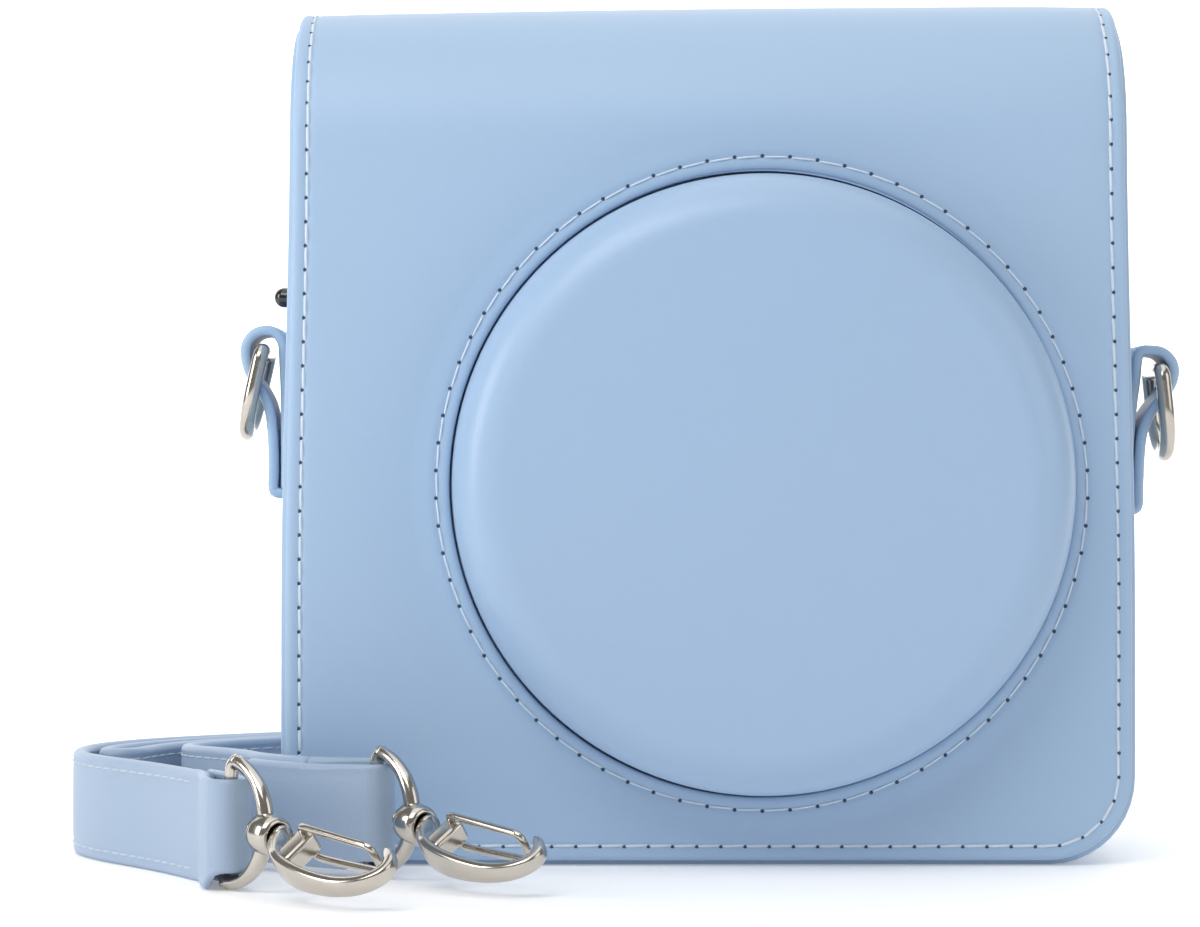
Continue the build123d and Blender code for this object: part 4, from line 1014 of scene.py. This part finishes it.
def make_tab(name, sign):
    """A leather band folded to an eye: a round-edged ribbon along its plan."""
    low, high = (np.array(corner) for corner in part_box(f"tab_{name}"))
    wall = sign * (GUSSET_HIGH[0] - 0.2 * MM)
    bottom, eye = low[2] / MM, JOINTS[f"{name}_ring_swing"]["pos_m"][2] / MM
    t = TAB_HALF_THICK
    line = b_spline(tab_plan(name, bottom, eye), 140)
    tangent = unit(np.gradient(line, axis=0))
    normal = np.stack([-tangent[:, 1], tangent[:, 0]], 1)
    half_width = (high[1] - low[1]) / 2 / MM
    h = np.concatenate([np.linspace(-1, -0.86, 6), np.linspace(-0.8, 0.8, 12), np.linspace(0.86, 1, 6)])
    from_edge = (1 - np.abs(h)) * half_width
    edge = np.sqrt(np.maximum(t * t - np.clip(t - from_edge, 0, t) ** 2, 0))
    right = np.stack([edge, h * half_width], 1)
    section = np.tile(np.vstack([right, right[::-1] * [-1, 1]])[None], (len(line), 1, 1)) * MM
    path = np.column_stack([wall + sign * line[:, 0] * MM, np.zeros(len(line)), line[:, 1] * MM])
    side = np.column_stack([sign * normal[:, 0], np.zeros(len(line)), normal[:, 1]])
    up = np.tile([0.0, 1.0, 0.0], (len(line), 1))
    vertices, faces = carried(path, side, up, section)
    vertices, faces = capped(vertices, faces, len(line), section.shape[1])
    parts = Parts()
    parts.add(vertices, faces)
    parts.piece(f"ring_tab_{name}", MATERIALS["side"], "leather", "case", (f"tab_{name}",), merge=0.01 * MM)


def make_d_ring(name, sign, swing):
    """A wire D that hangs from its bar; the bar is the joint's axis."""
    joint = JOINTS[f"{name}_ring_swing"]
    corners = [(-D_HALF, 0), (D_HALF, 0), (D_HALF, -D_DROP), (-D_HALF, -D_DROP)]
    loop = rounded_loop(corners, [D_CORNER, D_CORNER, D_HALF - 0.1, D_HALF - 0.1])
    angle = math.radians(swing)
    down = np.array([sign * math.sin(angle), 0, -math.cos(angle)])
    across = np.array([0.0, 1.0, 0.0])
    centre = np.array(joint["pos_m"]) + MM * (loop[:, :1] * across - loop[:, 1:] * down)
    tangent = unit(np.roll(centre, -1, 0) - np.roll(centre, 1, 0))
    up = np.tile(np.cross(across, down), (len(centre), 1))
    section = np.tile(circle(18)[None] * D_WIRE * MM, (len(centre), 1, 1))
    vertices, faces = carried(centre, np.cross(tangent, up), up, section, closed=True)
    parts = Parts()
    parts.add(vertices, faces)
    parts.piece(f"ring_{name}", MATERIALS["nickel"], "nickel", f"{name}_ring", (f"d_ring_{name}",))


# ---- CAD nodes that stay ----
KEPT = {
    "lining": ["body_lining", "flap_lining", "cup_lining"],
    "side": ["front_lip"],
    "steel": ["lip_magnets", "flap_magnets", "shell_screws", "roller_motor"],
    "shell": ["camera_front_shell", "camera_rear_shell", "film_door", "battery_door"],
    "black_gloss": ["camera_side_lug", "lens_bezel"],
    "black_matte": ["lens_barrel", "lens_group", "film_cartridge", "viewfinder_tube", "shutter_switch",
                    "roller_brackets", "lens_ring"],
    "button": ["shutter_button"],
    "glass": ["lens_glass", "viewfinder_window", "flash_window", "light_sensor_window",
              "viewfinder_eyepiece"],
    "reflector": ["flash_reflector"],
    "paper": ["film_sheets"],
    "rubber": ["film_roller_front", "film_roller_rear"],
    "sleeve": ["batteries"],
    "capacitor": ["flash_capacitor"],
    "circuit": ["circuit_board"],
}


def finish_kept_nodes():
    """Each kept node's one material."""
    for label, names in KEPT.items():
        for name in names:
            obj = frame["nodes"][name]
            obj.data.materials.clear()
            obj.data.materials.append(MATERIALS[label])


# ---- stage ----
def area_light(name, place, aim, size, energy):
    """A white rectangular light at a place, turned to its aim."""
    light = bpy.data.lights.new(name, "AREA")
    light.shape, light.size, light.size_y = "RECTANGLE", size[0], size[1]
    light.energy = energy
    obj = bpy.data.objects.new(name, light)
    obj.location = place
    obj.rotation_euler = (Vector(aim) - Vector(place)).to_track_quat("-Z", "Y").to_euler()
    bpy.context.scene.collection.objects.link(obj)


def sweep_material(settings):
    """Matt white that gives a little light of its own, more of it towards the back."""
    material, tree, shader = new_material("Pale sweep")
    place = node(tree, "ShaderNodeTexCoord").outputs["Object"]
    noise = node(tree, "ShaderNodeTexNoise", {"Vector": place, "Scale": 6.0})
    tint = node(tree, "ShaderNodeMix", {"Factor": noise.outputs["Fac"]}, data_type="RGBA")
    tint.inputs[6].default_value = (0.93, 0.93, 0.935, 1)
    tint.inputs[7].default_value = (0.91, 0.91, 0.915, 1)
    apart = node(tree, "ShaderNodeSeparateXYZ", {"Vector": place})
    glow = node(tree, "ShaderNodeMapRange", {"Value": apart.outputs["Y"], "From Min": 0.10, "From Max": 0.9,
                                             "To Min": settings.glow, "To Max": settings.far_glow})
    tree.links.new(tint.outputs[2], shader.inputs["Base Color"])
    tree.links.new(glow.outputs[0], shader.inputs["Emission Strength"])
    shader.inputs["Emission Color"].default_value = (1, 1, 1, 1)
    shader.inputs["Roughness"].default_value = 0.6
    return material


def make_stage(settings):
    """Camera, even background light, four area lights, and a floor that rises behind in a quarter circle."""
    scene = bpy.context.scene
    scene.view_settings.view_transform = "Standard"
    camera = bpy.data.cameras.new("camera")
    camera.lens, camera.sensor_width = settings.lens, 36.0
    camera.clip_start, camera.clip_end = 0.05, 20
    obj = bpy.data.objects.new("camera", camera)
    obj.location = settings.camera_place
    obj.rotation_euler = (math.pi / 2, 0, 0)
    scene.collection.objects.link(obj)
    scene.camera = obj
    world = bpy.data.worlds.new("studio")
    world.use_nodes = True
    background = world.node_tree.nodes["Background"]
    background.inputs["Color"].default_value = (1.0, 1.0, 1.0, 1)
    background.inputs["Strength"].default_value = settings.fill
    scene.world = world
    a = np.linspace(0, math.pi / 2, 12)
    rise = settings.sweep_radius
    far, height = 1.4 + rise * np.sin(a), rise * (1 - np.cos(a))
    y = np.concatenate([[-2.2, -1.0, 0, 0.7], far, [far[-1]]])
    z = np.concatenate([[0, 0, 0, 0], height, [3.2]])
    x = np.linspace(-3, 3, 9)
    sweep = np.stack([np.repeat(x[:, None], len(y), 1), np.repeat(y[None], len(x), 0),
                      np.repeat(z[None], len(x), 0)], -1)
    material = sweep_material(settings)
    obj = add_piece("sweep", sweep, grid_faces(len(x), len(y)), material, "leather", recalculate=False)
    area_light("key", (-0.26, -0.50, 0.60), (0, 0, 0.10), (0.50, 0.35), settings.key)
    area_light("left", (-0.70, -0.24, 0.26), (0, 0, 0.08), (0.22, 0.40), settings.left)
    area_light("top", (0.1, 0.0, 1.2), (0, 0.05, 0.05), (1.4, 1.2), settings.top)
    area_light("right", (1.1, -0.6, 0.5), (0, 0, 0.07), (0.8, 0.8), settings.right)


# ---- settings ----
class CaseSettings(bpy.types.PropertyGroup):
    """Sizes and colours of the leatherwork."""
    leather_colour: FloatVectorProperty(name="Leather", description="Colour of the leather", subtype="COLOR",
                                        default=(0.36, 0.505, 0.69), min=0, max=1)
    thread_colour: FloatVectorProperty(name="Thread", description="Colour of the thread", subtype="COLOR",
                                       default=(0.70, 0.80, 0.90), min=0, max=1)
    thread_size: FloatProperty(name="Thread size", description="Thickness of the thread", unit="LENGTH",
                               default=0.52 * MM)
    ring_thread_size: FloatProperty(name="Cup thread size", description="Thickness of the cup's thread",
                                    unit="LENGTH", default=0.38 * MM)
    # Radius of the dark domes that paint the shade in the needle holes.
    needle_hole_shade: FloatProperty(name="Needle hole shade", description="Radius of a needle hole", unit="LENGTH",
                               default=0.40 * MM)
    stitch_pitch: FloatProperty(name="Edge pitch", description="Stitch length round the flap", unit="LENGTH",
                                default=3.95 * MM)
    ring_stitch_pitch: FloatProperty(name="Cup pitch", description="Stitch length round the cup",
                                     unit="LENGTH", default=4.5 * MM)
    strap_stitch_pitch: FloatProperty(name="Strap pitch", description="Stitch length along the strap",
                                      unit="LENGTH", default=2.9 * MM)
    cup_shoulder: FloatProperty(name="Cup shoulder", description="Radius of the cup's shoulder",
                                unit="LENGTH", default=8.6 * MM)


class StageSettings(bpy.types.PropertyGroup):
    """Camera and lights."""
    camera_place: FloatVectorProperty(name="Camera", description="Where the camera stands", unit="LENGTH",
                                      default=(-0.0178, -0.625, 0.0658))
    lens: FloatProperty(name="Lens", description="Focal length in millimetres", default=110.2)
    key: FloatProperty(name="Key", description="Power of the key light", default=2.35)
    left: FloatProperty(name="Left", description="Power of the low left light", default=1.85)
    top: FloatProperty(name="Top", description="Power of the top light", default=5.9)
    right: FloatProperty(name="Right", description="Power of the right light", default=2.6)
    fill: FloatProperty(name="Fill", description="Strength of the even background light", default=0.22)
    glow: FloatProperty(name="Glow", description="Light given by the sweep itself", default=0.18)
    far_glow: FloatProperty(name="Far glow", description="Light given by the far part of the sweep",
                            default=1.1)
    sweep_radius: FloatProperty(name="Sweep", description="Radius of the sweep behind", unit="LENGTH",
                                default=0.6)


# ---- operators ----
class CASE_OT_stage(bpy.types.Operator):
    """Set the floor, lights and camera."""
    bl_idname = "case.stage"
    bl_label = "Stage"

    def execute(self, context):
        make_stage(context.scene.stage_settings)
        return {"FINISHED"}


class CASE_OT_materials(bpy.types.Operator):
    """Make the finishes."""
    bl_idname = "case.materials"
    bl_label = "Finishes"

    def execute(self, context):
        make_materials(context.scene.case_settings)
        return {"FINISHED"}


class CASE_OT_metal_ends(bpy.types.Operator):
    """Make the strap's end pieces, rings, hooks and gates."""
    bl_idname = "case.strap_ends"
    bl_label = "Strap ends"

    def execute(self, context):
        for k in (1, 2):
            make_end_fold(k, context.scene.case_settings)
            make_end_ring(k)
            make_end_hook(k)
            make_end_gate(k)
        return {"FINISHED"}


class CASE_OT_strap(bpy.types.Operator):
    """Lay the shoulder strap along its route and stitch its edges."""
    bl_idname = "case.strap"
    bl_label = "Strap"

    def execute(self, context):
        make_strap(context.scene.case_settings)
        return {"FINISHED"}


class CASE_OT_wrap(bpy.types.Operator):
    """Form the front, top and back in one piece, with its edge stitching."""
    bl_idname = "case.wrap"
    bl_label = "Flap and back"

    def execute(self, context):
        make_wrap()
        make_wrap_stitches(context.scene.case_settings)
        return {"FINISHED"}


class CASE_OT_cup(bpy.types.Operator):
    """Form the lens cup, its rim and its ring of stitches."""
    bl_idname = "case.cup"
    bl_label = "Lens cup"

    def execute(self, context):
        make_cup(context.scene.case_settings)
        make_cup_rim()
        make_cup_stitches(context.scene.case_settings)
        return {"FINISHED"}


class CASE_OT_sides(bpy.types.Operator):
    """Form the side strip, the tabs and the D-rings."""
    bl_idname = "case.sides"
    bl_label = "Sides, tabs and rings"

    def execute(self, context):
        make_gusset()
        for name, sign, swing in (("left", -1, 12.5), ("right", 1, 6.0)):
            make_tab(name, sign)
            make_d_ring(name, sign, swing)
        return {"FINISHED"}


class CASE_OT_kept(bpy.types.Operator):
    """Give the camera and the linings their finishes."""
    bl_idname = "case.kept"
    bl_label = "Camera and linings"

    def execute(self, context):
        finish_kept_nodes()
        return {"FINISHED"}


class CASE_PT_panel(bpy.types.Panel):
    """The case's makers, in order."""
    bl_label = "Camera Case"
    bl_idname = "CASE_PT_panel"
    bl_space_type = "VIEW_3D"
    bl_region_type = "UI"
    bl_category = "Camera Case"

    def draw(self, context):
        for maker in MAKERS:
            self.layout.operator(maker.bl_idname)
        for group in (context.scene.case_settings, context.scene.stage_settings):
            for name in group.__annotations__:
                self.layout.prop(group, name)


MAKERS = (CASE_OT_materials, CASE_OT_stage, CASE_OT_metal_ends, CASE_OT_strap, CASE_OT_wrap, CASE_OT_cup,
          CASE_OT_sides, CASE_OT_kept)
CLASSES = (CaseSettings, StageSettings, *MAKERS, CASE_PT_panel)


def register():
    for cls in CLASSES:
        bpy.utils.register_class(cls)
    bpy.types.Scene.case_settings = PointerProperty(type=CaseSettings)
    bpy.types.Scene.stage_settings = PointerProperty(type=StageSettings)


def unregister():
    del bpy.types.Scene.case_settings
    del bpy.types.Scene.stage_settings
    for cls in reversed(CLASSES):
        bpy.utils.unregister_class(cls)


def main():
    register()
    for maker in MAKERS:
        group, name = maker.bl_idname.split(".")
        getattr(getattr(bpy.ops, group), name)()
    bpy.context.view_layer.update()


if __name__ == "__main__":
    main()
